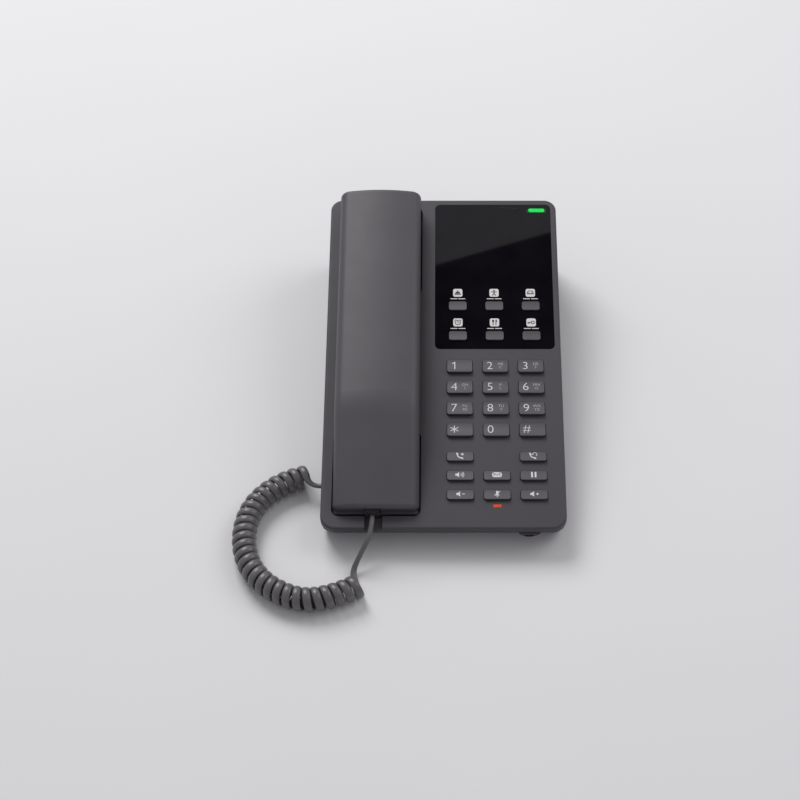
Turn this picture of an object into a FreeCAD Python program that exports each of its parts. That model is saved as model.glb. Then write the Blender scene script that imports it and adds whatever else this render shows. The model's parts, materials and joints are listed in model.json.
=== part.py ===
import FreeCAD, Part
import math
import os
import Sketcher

Vector = FreeCAD.Vector
Rotation = FreeCAD.Rotation
Placement = FreeCAD.Placement

# Driving sizes in millimetres and degrees. Places on the sloping face are measured from the middle of its
# front edge: x to the right, s back along the slope, depth down into the base.
SIZES = {
    # base
    "base_width": 132.0,
    "face_length": 213.0,
    "face_tilt": 10.0,
    "front_height": 17.0,
    "skirt_depth": 5.0,
    "cover_wall": 2.2,
    "front_corner": 8.0,
    "back_corner": 7.0,
    "cover_edge": 1.2,
    "tub_inset": 1.2,
    "undercut": 45.0,
    "foot_height": 2.0,
    # case screws and their bosses
    "boss_level": 14.0,
    "boss_width": 6.4,
    "tube_width": 8.6,
    "web": 2.0,
    "pilot_width": 2.6,
    "pilot_depth": 9.0,
    "screw_width": 2.4,
    "screw_length": 9.0,
    "head_width": 5.4,
    "head_height": 2.2,
    "well_gap": 0.4,
    "screw_side": 9.0,
    "screw_inset": 6.2,
    "screw_by_panel": 3.0,
    "screw_near": 24.0,
    "screw_middle": 110.0,
    "screw_before_speaker": 143.0,
    "screw_behind_speaker": 74.5,
    "screw_far": 23.0,
    # boards and their screws
    "board_thick": 1.6,
    "post_width": 4.4,
    "small_pilot": 1.8,
    "small_screw": 1.7,
    "small_length": 5.5,
    "small_head": 3.6,
    "small_head_height": 1.4,
    # handset
    "handset_side": 6.6,
    "handset_space": 8.3,
    "mouth_end": 8.8,
    "ear_margin": 6.4,
    "crown_height": 21.0,
    "crown_radius": 100.0,
    "side_radius": 6.0,
    "end_radius": 2.6,
    "back_depth": 9.0,
    "bend_at": 66.0,
    "bend_angle": 13.5,
    "bend_radius": 60.0,
    "shell_wall": 2.0,
    "shell_inset": 0.6,
    "cup_depth": 5.5,
    "cup_slope": 46.0,
    "cup_edge": 2.0,
    "grip_height": 7.0,
    "mouth_cup": 52.0,
    "ear_cup_edge": 11.0,
    "receiver_end": 7.6,
    "receiver_space": 12.4,
    "sound_hole": 2.2,
    "sound_ring": 7.0,
    "capsule_at": 31.0,
    "capsule_width": 9.7,
    "capsule_height": 5.0,
    "capsule_hole": 1.8,
    "weight_space": 22.4,
    "weight_margin": 25.0,
    "weight_height": 5.0,
    "handset_screw_near": 43.5,
    "handset_screw_run": 6.0,
    "handset_seat": 2.0,
    # cradle in the top cover
    "cradle_gap": 0.8,
    "cradle_end_gap": 1.4,
    "cradle_wall": 1.8,
    "cradle_corner": 4.0,
    "groove_shift": 1.2,
    "groove_width": 9.6,
    "groove_depth": 2.6,
    # gloss panel
    "panel_side": 3.5,
    "panel_far": 3.7,
    "panel_width": 67.2,
    "panel_near": 111.0,
    "panel_thick": 1.4,
    "panel_corner": 3.0,
    "panel_gap": 0.15,
    "panel_rim": 1.6,
    # keys
    "key_gap": 0.3,
    "key_corner": 1.2,
    "key_scoop": 26.0,
    "flange_rim": 0.8,
    "flange_thick": 1.0,
    "stem_width": 4.4,
    "dome_level": 5.0,
    "dome_height": 1.6,
    "dome_width": 5.6,
    "dome_foot": 0.6,
    "sheet_thick": 0.8,
    "dial_pitch_x": 19.85,
    "dial_near": 59.3,
    "dial_pitch": 13.4,
    "dial_width": 14.0,
    "dial_length": 8.5,
    "dial_far_rise": 0.4,
    "dial_near_rise": 1.9,
    "function_near": 19.8,
    "function_pitch": 11.55,
    "function_width": 14.2,
    "function_length": 5.9,
    "function_far_rise": 0.4,
    "function_near_rise": 1.6,
    "speed_pitch_x": 20.75,
    "speed_near": 119.5,
    "speed_pitch": 19.8,
    "speed_width": 10.0,
    "speed_length": 5.8,
    "speed_far_rise": 0.4,
    "speed_near_rise": 0.9,
    # lights
    "status_side": 11.5,
    "status_far": 7.6,
    "status_width": 10.9,
    "status_length": 2.5,
    "mute_at": 13.4,
    "mute_width": 4.3,
    "mute_length": 1.6,
    "light_rise": 0.1,
    "light_gap": 0.05,
    "light_rim": 0.6,
    # key board and key membrane
    "board_inset": 0.7,
    "board_far": 6.0,
    "board_post_edge": 2.4,
    "board_near": 10.5,
    "sheet_width": 49.2,
    "sheet_near": 15.4,
    "sheet_length": 131.0,
    "board_post_near": 20.0,
    "board_post_pitch": 70.0,
    # hook
    "hook_margin": 8.6,
    "hook_width": 8.0,
    "hook_length": 5.0,
    "hook_gap": 0.4,
    "hook_travel": 4.0,
    "hook_flange_width": 12.0,
    "hook_flange_length": 9.0,
    "hook_flange_thick": 1.6,
    "hook_arm": 15.0,
    "hook_arm_width": 4.0,
    "hook_pin": 3.4,
    "hook_pin_length": 3.0,
    "spring_radius": 3.0,
    "spring_wire": 0.7,
    "spring_height": 8.4,
    "spring_turns": 5.0,
    "switch_width": 6.0,
    "switch_length": 8.0,
    "switch_button": 1.8,
    "switch_button_width": 2.4,
    "hook_board_width": 25.0,
    "hook_board_length": 28.0,
    "hook_post_x": 9.5,
    "hook_post_run": 8.0,
    # main board and rear sockets
    "standoff": 4.0,
    "main_board_x": -3.0,
    "main_board_side": 13.0,
    "main_post_edge": 4.0,
    "main_board_length": 56.0,
    "main_board_gap": 1.0,
    "main_post_front": 5.0,
    "main_post_pitch": 26.0,
    "network_x": 16.0,
    "network_width": 32.0,
    "network_height": 13.5,
    "network_depth": 21.0,
    "network_pitch": 15.6,
    "port_width": 11.8,
    "port_height": 7.6,
    "port_depth": 14.0,
    "port_sill": 2.6,
    "power_x": -24.0,
    "power_width": 9.0,
    "power_height": 11.0,
    "power_depth": 14.0,
    "power_bore": 6.2,
    "power_pin": 2.0,
    "power_bore_depth": 9.5,
    "socket_gap": 0.3,
    # loudspeaker
    "speaker_side": 29.8,
    "speaker_far": 112.0,
    "speaker_width": 50.0,
    "speaker_height": 15.0,
    "speaker_rib": 1.6,
    "gasket_thick": 1.0,
    "slot_width": 2.2,
    "slot_pitch": 5.0,
    "slot_length": 34.0,
    # hands-free microphone
    "mic_side": 20.0,
    "mic_from_front": 5.4,
    "mic_drop": 2.8,
    "mic_boss_width": 11.5,
    "mic_boss_drop": 3.0,
    "mic_boss_depth": 7.0,
    "mic_slot_width": 4.6,
    "mic_slot_height": 1.5,
    "mic_width": 4.8,
    "mic_length": 3.2,
    "mic_wall": 1.4,
    # feet and wall keyholes
    "foot_width": 12.0,
    "foot_recess": 0.8,
    "foot_side": 16.0,
    "foot_far": 19.0,
    "foot_front": 25.0,
    "keyhole_x": 14.0,
    "keyhole_from_front": 60.0,
    "keyhole_pitch": 83.0,
    "keyhole_width": 8.0,
    "keyhole_slot": 4.2,
    "keyhole_run": 7.0,
    # cord, its plugs and their sockets
    "jack_from_front": 33.8,
    "jack_center": 9.2,
    "jack_width": 10.5,
    "jack_length": 14.0,
    "jack_wall": 1.4,
    "plug_width": 7.6,
    "plug_height": 6.0,
    "plug_gap": 0.15,
    "plug_length": 11.0,
    "plug_out": 1.2,
    "cord_shift": 1.8,
    "cord_height": 1.2,
    "cord_width": 3.6,
    "coil_radius": 5.0,
    "coil_height": 6.9,
    "coil_turns": 26.5,
}

doc = FreeCAD.newDocument("desk_phone")
sheet = doc.addObject("Spreadsheet::Sheet", "Sizes")
for line, (size_name, size_value) in enumerate(SIZES.items(), start=1):
    sheet.set(f"A{line}", size_name)
    sheet.set(f"B{line}", str(size_value))
    sheet.setAlias(f"B{line}", size_name)
doc.recompute()


class Dim:
    """A size that keeps its value together with the sheet expression it comes from."""

    def __init__(self, value, text):
        self.value = value
        self.text = text

    def __add__(self, other):
        other = as_dim(other)
        return Dim(self.value + other.value, f"({self.text} + {other.text})")

    def __sub__(self, other):
        other = as_dim(other)
        return Dim(self.value - other.value, f"({self.text} - {other.text})")

    def __mul__(self, other):
        other = as_dim(other)
        return Dim(self.value * other.value, f"({self.text} * {other.text})")

    def __truediv__(self, other):
        other = as_dim(other)
        return Dim(self.value / other.value, f"({self.text} / {other.text})")

    def __neg__(self):
        return Dim(-self.value, f"(0 - {self.text})")

    def __radd__(self, other):
        return as_dim(other) + self

    def __rmul__(self, other):
        return as_dim(other) * self


def as_dim(number):
    """Take a plain number or a size as a size."""
    if isinstance(number, Dim):
        return number
    return Dim(float(number), f"({number})")


def sine(angle):
    return Dim(math.sin(math.radians(angle.value)), f"sin({angle.text})")


def cosine(angle):
    return Dim(math.cos(math.radians(angle.value)), f"cos({angle.text})")


def tangent(angle):
    return Dim(math.tan(math.radians(angle.value)), f"tan({angle.text})")


class SheetSizes:
    """Every cell of the sheet as an attribute."""

    def __init__(self):
        for name in SIZES:
            setattr(self, name, Dim(float(sheet.get(name)), f"Sizes.{name}"))
        self.place_across()
        self.place_along()

    def place_across(self):
        """Panel, keys and board keep to the right side, the handset fills what is left of the width."""
        half = self.base_width / 2
        taken = self.panel_width + self.panel_side + self.handset_space + self.handset_side
        self.handset_width = self.base_width - taken
        self.handset_x = self.handset_side + self.handset_width / 2 - half
        self.receiver_width = self.handset_width - self.receiver_space
        self.weight_width = self.handset_width - self.weight_space
        self.groove_x = self.handset_x - self.groove_shift
        self.cord_x = self.handset_x - self.cord_shift
        self.panel_x = half - self.panel_side - self.panel_width / 2
        self.dial_x = self.panel_x
        self.speed_x = self.panel_x
        self.mute_x = self.panel_x
        self.board_x = self.panel_x
        self.board_width = self.panel_width - 2 * self.board_inset
        self.board_post_x = self.board_width / 2 - self.board_post_edge
        self.status_x = half - self.status_side
        self.main_board_width = self.base_width - 2 * self.main_board_side
        self.main_post_x = self.main_board_width / 2 - self.main_post_edge
        self.speaker_x = self.speaker_side - half
        self.mic_x = half - self.mic_side
        self.foot_x = half - self.foot_side

    def place_along(self):
        """Whatever sits towards the far edge is measured back from it."""
        self.ear_end = self.face_length - self.ear_margin
        self.receiver_at = self.ear_end - self.receiver_end - self.receiver_width / 2
        self.ear_cup = self.receiver_at - self.receiver_width / 2 - self.ear_cup_edge
        self.handset_screw_far = self.ear_cup + self.handset_screw_run
        self.weight_at = (self.mouth_cup + self.ear_cup) / 2
        self.weight_length = self.ear_cup - self.mouth_cup - 2 * self.weight_margin
        self.hook_at = self.ear_end - self.hook_margin
        self.hook_post_at = self.hook_at - self.hook_post_run
        self.panel_length = self.face_length - self.panel_near - self.panel_far
        self.status_at = self.face_length - self.status_far
        self.board_length = self.face_length - self.board_near - self.board_far
        self.speaker_from_front = self.face_length - self.speaker_far
        self.foot_back = self.face_length - self.foot_far


d = SheetSizes()
ZERO = as_dim(0)

# The face leans back by its tilt, and the base stands over the origin with its middle.
SIN_TILT = sine(d.face_tilt)
COS_TILT = cosine(d.face_tilt)
EDGE_SHIFT = d.cover_edge * (COS_TILT + SIN_TILT - 1)
FRONT_Y = -(d.face_length * COS_TILT + d.skirt_depth * SIN_TILT + EDGE_SHIFT) / 2
UPRIGHT = Placement()
FACE = Placement(Vector(0, FRONT_Y.value, d.front_height.value), Rotation(Vector(1, 0, 0), d.face_tilt.value))
FLOOR = d.foot_height + d.cover_wall


def bind(item, name, dim):
    item.setExpression(name, dim.text)


def new_body(label, leaning=True):
    """Start a sub-part, in the frame of the leaning face or upright."""
    body = doc.addObject("PartDesign::Body", label)
    body.Label = label
    body.AllowCompound = True
    if leaning:
        body.Placement = FACE
        bind(body, "Placement.Base.y", FRONT_Y)
        bind(body, "Placement.Base.z", d.front_height)
        bind(body, "Placement.Rotation.Angle", d.face_tilt)
    return body


def new_sketch(body, name, role="XY_Plane", offset=None, leaning=False):
    """Lay a sketch on one of the body's own planes, moved along its normal or leaned like the face."""
    plane = [item for item in body.Origin.OriginFeatures if item.Role == role][0]
    sketch = body.newObject("Sketcher::SketchObject", f"{body.Name}_{name}")
    sketch.AttachmentSupport = (plane, [""])
    sketch.MapMode = "FlatFace"
    if leaning:
        height = offset or ZERO
        shift_y = FRONT_Y - height * SIN_TILT
        shift_z = d.front_height + height * COS_TILT
        place = Vector(0, shift_y.value, shift_z.value)
        sketch.AttachmentOffset = Placement(place, Rotation(Vector(1, 0, 0), d.face_tilt.value))
        bind(sketch, "AttachmentOffset.Base.y", shift_y)
        bind(sketch, "AttachmentOffset.Base.z", shift_z)
        bind(sketch, "AttachmentOffset.Rotation.Angle", d.face_tilt)
    elif offset is not None:
        sketch.AttachmentOffset = Placement(Vector(0, 0, offset.value), Rotation())
        bind(sketch, "AttachmentOffset.Base.z", offset)
    return sketch


def fix(sketch, kind, dim, *where):
    """Add one sized constraint and tie it to the sheet."""
    index = sketch.addConstraint(Sketcher.Constraint(kind, *where, dim.value))
    sketch.setExpression(f"Constraints[{index}]", dim.text)


def fix_point(sketch, geometry, vertex, x, y):
    fix(sketch, "DistanceX", as_dim(x), -1, 1, geometry, vertex)
    fix(sketch, "DistanceY", as_dim(y), -1, 1, geometry, vertex)


def polygon(sketch, points):
    """Draw a closed outline through points given as pairs of sizes."""
    points = [(as_dim(x), as_dim(y)) for x, y in points]
    first = sketch.GeometryCount
    corners = [Vector(x.value, y.value, 0) for x, y in points]
    for start, end in zip(corners, corners[1:] + corners[:1]):
        sketch.addGeometry(Part.LineSegment(start, end), False)
    for step, (x, y) in enumerate(points):
        after = (step + 1) % len(points)
        sketch.addConstraint(Sketcher.Constraint("Coincident", first + step, 2, first + after, 1))
        fix_point(sketch, first + step, 1, x, y)


def block(sketch, x, y, width, length):
    """Draw a rectangle about its middle."""
    left = x - width / 2
    right = x + width / 2
    near = y - length / 2
    far = y + length / 2
    polygon(sketch, [(left, near), (right, near), (right, far), (left, far)])


def rounded(sketch, left, right, near, far, near_radius, far_radius=None):
    """Draw a rectangle with rounded corners, the near pair and the far pair each with its radius."""
    if far_radius is None:
        far_radius = near_radius
    first = sketch.GeometryCount
    corners = [
        (right - near_radius, near + near_radius, near_radius, -90),
        (right - far_radius, far - far_radius, far_radius, 0),
        (left + far_radius, far - far_radius, far_radius, 90),
        (left + near_radius, near + near_radius, near_radius, 180),
    ]
    ends = []
    for x, y, radius, start in corners:
        circle_line = Part.Circle(Vector(x.value, y.value, 0), Vector(0, 0, 1), radius.value)
        arc = Part.ArcOfCircle(circle_line, math.radians(start), math.radians(start + 90))
        ends.append((arc.StartPoint, arc.EndPoint))
        sketch.addGeometry(arc, False)
    for step in range(4):
        sketch.addGeometry(Part.LineSegment(ends[step][1], ends[(step + 1) % 4][0]), False)
    for step, (x, y, radius, _) in enumerate(corners):
        fix_point(sketch, first + step, 3, x, y)
        fix(sketch, "Radius", radius, first + step)
        side = first + 4 + step
        sketch.addConstraint(Sketcher.Constraint("Tangent", first + step, 2, side, 1))
        sketch.addConstraint(Sketcher.Constraint("Tangent", side, 2, first + (step + 1) % 4, 1))


def disc(sketch, x, y, width):
    """Draw a circle by its middle and its diameter."""
    x = as_dim(x)
    y = as_dim(y)
    index = sketch.GeometryCount
    sketch.addGeometry(Part.Circle(Vector(x.value, y.value, 0), Vector(0, 0, 1), width.value / 2), False)
    fix_point(sketch, index, 3, x, y)
    fix(sketch, "Radius", width / 2, index)


def hanging_arc(sketch, left, right, radius):
    """Draw an arc that hangs below the line from a left to a right point, by its radius."""
    index = sketch.GeometryCount
    start = Vector(left[0].value, left[1].value, 0)
    end = Vector(right[0].value, right[1].value, 0)
    chord = end - start
    rise = math.sqrt(radius.value ** 2 - chord.Length ** 2 / 4)
    middle = (start + end) / 2 + Vector(-chord.y, chord.x, 0).normalize() * rise
    turns = [math.atan2(point.y - middle.y, point.x - middle.x) for point in (start, end)]
    round_line = Part.Circle(middle, Vector(0, 0, 1), radius.value)
    sketch.addGeometry(Part.ArcOfCircle(round_line, turns[0], turns[1]), False)
    fix(sketch, "Radius", radius, index)
    fix_point(sketch, index, 1, *left)
    fix_point(sketch, index, 2, *right)


def extrude(kind, sketch, length, turned, symmetric):
    body = sketch.getParentGeoFeatureGroup()
    feature = body.newObject(kind, f"{sketch.Name}_solid")
    feature.Profile = sketch
    if length is None:
        feature.Type = "ThroughAll"
    else:
        feature.Length = length.value
        bind(feature, "Length", length)
    feature.Reversed = turned
    feature.Refine = False
    if symmetric:
        feature.SideType = "Symmetric"
    body.Tip = feature
    return feature


def pad(sketch, length, down=False, symmetric=False):
    return extrude("PartDesign::Pad", sketch, length, down, symmetric)


def pocket(sketch, length=None, up=False, symmetric=False):
    return extrude("PartDesign::Pocket", sketch, length, up, symmetric)


def round_edges(feature, radius, wanted):
    """Round the edges whose middle and direction the test accepts."""
    doc.recompute()
    names = []
    for index, edge in enumerate(feature.Shape.Edges, start=1):
        low, high = edge.ParameterRange
        middle = edge.valueAt((low + high) / 2)
        along = edge.valueAt(high) - edge.valueAt(low)
        if along.Length > 0:
            along.normalize()
        if wanted(middle, along):
            names.append(f"Edge{index}")
    body = feature.getParentGeoFeatureGroup()
    fillet = body.newObject("PartDesign::Fillet", f"{feature.Name}_round")
    fillet.Base = (feature, names)
    fillet.Radius = radius.value
    bind(fillet, "Radius", radius)
    body.Tip = fillet
    return fillet


def near(value, dim, slack=0.01):
    return abs(value - as_dim(dim).value) < slack


def slope_height(s):
    """Height of the face above the table at a place along the slope."""
    return d.front_height + s * SIN_TILT


def depth_below(s, height):
    """Depth square to the face, under a place on it, of a level above the table."""
    return (slope_height(s) - height) / COS_TILT


# Places that several sub-parts share.
CASE_SCREWS = [
    (d.panel_x - d.panel_width / 2 - d.screw_by_panel, d.screw_near),
    (d.handset_x - d.handset_width / 2 + d.screw_inset, d.face_length - d.screw_before_speaker),
    (d.handset_x - d.handset_width / 2 + d.screw_inset, d.face_length - d.screw_behind_speaker),
    (d.base_width / 2 - d.screw_side, d.screw_middle),
    (d.base_width / 2 - d.screw_side, d.face_length - d.screw_far),
]
BOARD_LEVEL = d.dome_level + d.dome_height + d.sheet_thick
BOARD_POSTS = [
    (d.board_x + side * d.board_post_x, d.board_post_near + row * d.board_post_pitch)
    for side in (-1, 1)
    for row in range(3)
]
CRADLE_FLOOR = d.cup_depth
CRADLE_BASE = d.cup_depth + d.cradle_wall
HOOK_FLANGE = CRADLE_BASE + d.hook_travel + 0.3
HOOK_BOARD = HOOK_FLANGE + d.hook_flange_thick + d.spring_height
HOOK_POSTS = [(d.handset_x + side * d.hook_post_x, d.hook_post_at) for side in (-1, 1)]
TUB_SIDE = d.base_width / 2 - d.tub_inset
TUB_BACK = FRONT_Y + (d.face_length - d.tub_inset) * COS_TILT + d.skirt_depth * SIN_TILT
MAIN_LEVEL = FLOOR + d.standoff
MAIN_BACK = TUB_BACK - d.cover_wall - d.main_board_gap
MAIN_FRONT = MAIN_BACK - d.main_board_length
MAIN_POSTS = [
    (d.main_board_x + side * d.main_post_x, MAIN_FRONT + d.main_post_front + row * d.main_post_pitch)
    for side in (-1, 1)
    for row in range(2)
]
FEET = [(side * d.foot_x, FRONT_Y + place) for side in (-1, 1) for place in (d.foot_front, d.foot_back)]
JACK_Y = FRONT_Y + d.jack_from_front
CUP_RUN = (d.cup_depth + d.grip_height) / tangent(d.cup_slope)
CUP_AT_FACE = d.cup_depth / tangent(d.cup_slope)
PLUG_MIDDLE = d.cord_height
PLUG_REAR = d.mouth_end - d.plug_out
JACK_HEIGHT = d.jack_center + d.plug_height / 2 + d.jack_wall - FLOOR
NETWORK_BASE = MAIN_LEVEL + d.board_thick
MIC_SEAT = FRONT_Y + d.mic_from_front
MIC_Z = d.front_height - d.skirt_depth * COS_TILT - d.mic_drop


# Keys: a scooped cap on a wider flange, with a stem that stands on its rubber dome.
def build_key(label, x, s, width, length, floor, far_rise, near_rise):
    body = new_body(label)
    profile = new_sketch(body, "profile", "YZ_Plane", x)
    far_edge = s + length / 2
    near_edge = s - length / 2
    points = [(near_edge, -floor), (far_edge, -floor), (far_edge, far_rise), (near_edge, near_rise)]
    corners = [Vector(a.value, b.value, 0) for a, b in points]
    for start, end in ((3, 0), (0, 1), (1, 2)):
        profile.addGeometry(Part.LineSegment(corners[start], corners[end]), False)
    hanging_arc(profile, points[3], points[2], d.key_scoop)
    for line, vertex, other, start in ((0, 2, 1, 1), (1, 2, 2, 1), (2, 2, 3, 2), (3, 1, 0, 1)):
        profile.addConstraint(Sketcher.Constraint("Coincident", line, vertex, other, start))
    fix_point(profile, 1, 1, *points[0])
    fix_point(profile, 1, 2, *points[1])
    cap = pad(profile, width, symmetric=True)
    round_edges(cap, d.key_corner, lambda middle, along: abs(along.z) > 0.99)
    flange = new_sketch(body, "flange", offset=-floor)
    rim = 2 * (d.key_gap + d.flange_rim)
    block(flange, x, s, width + rim, length + rim)
    pad(flange, d.flange_thick, down=True)
    stem = new_sketch(body, "stem", offset=-(floor + d.flange_thick))
    disc(stem, x, s, d.stem_width)
    pad(stem, d.dome_level - floor - d.flange_thick, down=True)
    return body


def dial_place(column, row):
    return d.dial_x + (column - 1) * d.dial_pitch_x, d.dial_near + row * d.dial_pitch


def function_place(column, row):
    return d.dial_x + (column - 1) * d.dial_pitch_x, d.function_near + row * d.function_pitch


def speed_place(column, row):
    return d.speed_x + (column - 1) * d.speed_pitch_x, d.speed_near + row * d.speed_pitch


DIAL_ROWS = (
    ("key_star", "key_0", "key_hash"),
    ("key_7", "key_8", "key_9"),
    ("key_4", "key_5", "key_6"),
    ("key_1", "key_2", "key_3"),
)
FUNCTION_ROWS = (
    ("key_volume_down", "key_mute", "key_volume_up"),
    ("key_speaker", "key_voicemail", "key_hold"),
    ("key_transfer", None, "key_redial"),
)
SPEED_ROWS = (
    ("speed_key_4", "speed_key_5", "speed_key_6"),
    ("speed_key_1", "speed_key_2", "speed_key_3"),
)


def build_keys():
    bodies = []
    rises = (d.dial_far_rise, d.dial_near_rise)
    for label, x, s in key_places(DIAL_ROWS, dial_place):
        bodies.append(build_key(label, x, s, d.dial_width, d.dial_length, d.cover_wall, *rises))
    rises = (d.function_far_rise, d.function_near_rise)
    for label, x, s in key_places(FUNCTION_ROWS, function_place):
        bodies.append(build_key(label, x, s, d.function_width, d.function_length, d.cover_wall, *rises))
    rises = (d.speed_far_rise, d.speed_near_rise)
    deep = d.cover_wall + d.panel_thick
    for label, x, s in key_places(SPEED_ROWS, speed_place):
        bodies.append(build_key(label, x, s, d.speed_width, d.speed_length, deep, *rises))
    return bodies


def key_places(rows, place):
    """Places of the keys named in rows."""
    found = []
    for row, names in enumerate(rows):
        for column, label in enumerate(names):
            if label is not None:
                found.append((label, *place(column, row)))
    return found


# Openings for the keys and the lights, cut through the face and the panel.
def build_opening(label, x, s, width, length, gap, corner):
    body = new_body(f"opening_{label}")
    outline = new_sketch(body, "outline", offset=as_dim(1.0))
    half_width = width / 2 + gap
    half_length = length / 2 + gap
    rounded(outline, x - half_width, x + half_width, s - half_length, s + half_length, corner + gap)
    pad(outline, d.cover_wall + d.panel_thick + 2.0, down=True)
    return body


def build_openings():
    """Openings of the keys and lights that also pass through the panel, then all the others."""
    keys = (d.key_gap, d.key_corner)
    lights = (d.light_gap, d.light_gap)
    panel = []
    face = []
    for label, x, s in key_places(SPEED_ROWS, speed_place):
        panel.append(build_opening(label, x, s, d.speed_width, d.speed_length, *keys))
    panel.append(build_opening("status", d.status_x, d.status_at, d.status_width, d.status_length, *lights))
    for label, x, s in key_places(DIAL_ROWS, dial_place):
        face.append(build_opening(label, x, s, d.dial_width, d.dial_length, *keys))
    for label, x, s in key_places(FUNCTION_ROWS, function_place):
        face.append(build_opening(label, x, s, d.function_width, d.function_length, *keys))
    face.append(build_opening("mute", d.mute_x, d.mute_at, d.mute_width, d.mute_length, *lights))
    return panel, face


def with_openings(label, base, openings):
    """The same sub-part with its openings cut."""
    tools = doc.addObject("Part::Compound", f"{label}_openings")
    tools.Links = openings
    result = doc.addObject("Part::Cut", label)
    result.Label = label
    result.Base = base
    result.Tool = tools
    result.Refine = False
    return result


# Top cover: a shallow lid with the handset's cradle, the panel's seat, the key openings and its bosses.
def cradle_outline(sketch, near_end, far_end, wall):
    half = d.handset_width / 2 + d.cradle_gap + wall
    corner = d.cradle_corner + wall
    rounded(sketch, d.handset_x - half, d.handset_x + half, near_end - wall, far_end + wall, corner)


def build_top_cover():
    body = new_body("top_cover_blank")
    half = d.base_width / 2
    plan = new_sketch(body, "plan")
    rounded(plan, -half, half, ZERO, d.face_length, d.front_corner, d.back_corner)
    lid = pad(plan, d.skirt_depth, down=True)
    round_edges(lid, d.cover_edge, lambda middle, along: abs(middle.z) < 0.01)
    hollow = new_sketch(body, "hollow", offset=-d.skirt_depth)
    wall = d.cover_wall
    front_in = d.front_corner - wall
    back_in = d.back_corner - wall
    rounded(hollow, wall - half, half - wall, wall, d.face_length - wall, front_in, back_in)
    pocket(hollow, d.skirt_depth - wall, up=True)

    mouth = (d.mouth_end - d.cradle_end_gap, d.mouth_cup + CUP_AT_FACE + d.cradle_end_gap)
    ear = (d.ear_cup - CUP_AT_FACE - d.cradle_end_gap, d.ear_end + d.cradle_gap)
    for name, (near_end, far_end) in (("mouth", mouth), ("ear", ear)):
        tray = new_sketch(body, f"{name}_tray", offset=-wall)
        cradle_outline(tray, near_end, far_end, d.cradle_wall)
        pad(tray, CRADLE_BASE - wall, down=True)
    channel = new_sketch(body, "channel", offset=-wall)
    block(channel, d.groove_x, mouth[0] / 2 + 0.5, d.groove_width + 2 * d.cradle_wall, mouth[0] - 1.0)
    pad(channel, d.groove_depth + d.cradle_wall - wall, down=True)
    seat = new_sketch(body, "seat", offset=-wall)
    panel_half = d.panel_width / 2 + d.panel_gap
    panel_far = d.panel_near + d.panel_length
    left = d.panel_x - panel_half
    right = d.panel_x + panel_half
    panel_near = d.panel_near - d.panel_gap
    panel_back = panel_far + d.panel_gap
    rim = d.panel_rim
    rounded(seat, left - rim, right + rim, panel_near - rim, panel_back + rim, d.panel_corner + rim)
    pad(seat, d.panel_thick, down=True)
    bosses = new_sketch(body, "bosses", offset=-wall)
    for x, s in CASE_SCREWS:
        disc(bosses, x, s, d.boss_width)
    pad(bosses, d.boss_level - wall, down=True)
    posts = new_sketch(body, "posts", offset=-wall)
    for x, s in BOARD_POSTS:
        disc(posts, x, s, d.post_width)
    pad(posts, BOARD_LEVEL - wall, down=True)
    hook_posts = new_sketch(body, "hook_posts", offset=-CRADLE_FLOOR)
    for x, s in HOOK_POSTS:
        disc(hook_posts, x, s, d.post_width)
    pad(hook_posts, HOOK_BOARD - CRADLE_FLOOR, down=True)

    for name, (near_end, far_end) in (("mouth", mouth), ("ear", ear)):
        recess = new_sketch(body, f"{name}_recess")
        cradle_outline(recess, near_end, far_end, ZERO)
        pocket(recess, CRADLE_FLOOR)
    groove = new_sketch(body, "groove")
    block(groove, d.groove_x, mouth[0] / 2, d.groove_width, mouth[0] + 2.0)
    pocket(groove, d.groove_depth)
    panel_recess = new_sketch(body, "panel_recess")
    rounded(panel_recess, left, right, panel_near, panel_back, d.panel_corner)
    pocket(panel_recess, d.panel_thick)

    hook = new_sketch(body, "hook", offset=-CRADLE_FLOOR)
    block(hook, d.handset_x, d.hook_at, d.hook_width + 2 * d.hook_gap, d.hook_length + 2 * d.hook_gap)
    pocket(hook, d.cradle_wall + 1.0)

    pilots = new_sketch(body, "pilots", offset=-d.boss_level)
    for x, s in CASE_SCREWS:
        disc(pilots, x, s, d.pilot_width)
    pocket(pilots, d.pilot_depth, up=True)
    small = new_sketch(body, "small_pilots", offset=-BOARD_LEVEL)
    for x, s in BOARD_POSTS:
        disc(small, x, s, d.small_pilot)
    pocket(small, d.small_length - d.board_thick + 0.2, up=True)
    hook_pilots = new_sketch(body, "hook_pilots", offset=-HOOK_BOARD)
    for x, s in HOOK_POSTS:
        disc(hook_pilots, x, s, d.small_pilot)
    pocket(hook_pilots, d.small_length - d.board_thick + 0.5, up=True)
    return body


# Gloss panel with its six key openings and the slot of the light bar.
def build_faceplate():
    body = new_body("faceplate_blank")
    plan = new_sketch(body, "plan")
    half = d.panel_width / 2
    far_end = d.panel_near + d.panel_length
    rounded(plan, d.panel_x - half, d.panel_x + half, d.panel_near, far_end, d.panel_corner - d.panel_gap)
    pad(plan, d.panel_thick, down=True)
    return body


def build_light(label, x, s, width, length, floor):
    """A clear light guide: a bar through the cover, a rim below it and a foot on the key board."""
    body = new_body(label)
    bar = new_sketch(body, "bar", offset=d.light_rise)
    block(bar, x, s, width, length)
    pad(bar, d.light_rise + BOARD_LEVEL, down=True)
    rim = new_sketch(body, "rim", offset=-floor)
    block(rim, x, s, width + 2 * d.light_rim, length + 2 * d.light_rim)
    pad(rim, d.flange_thick, down=True)
    return body


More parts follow.
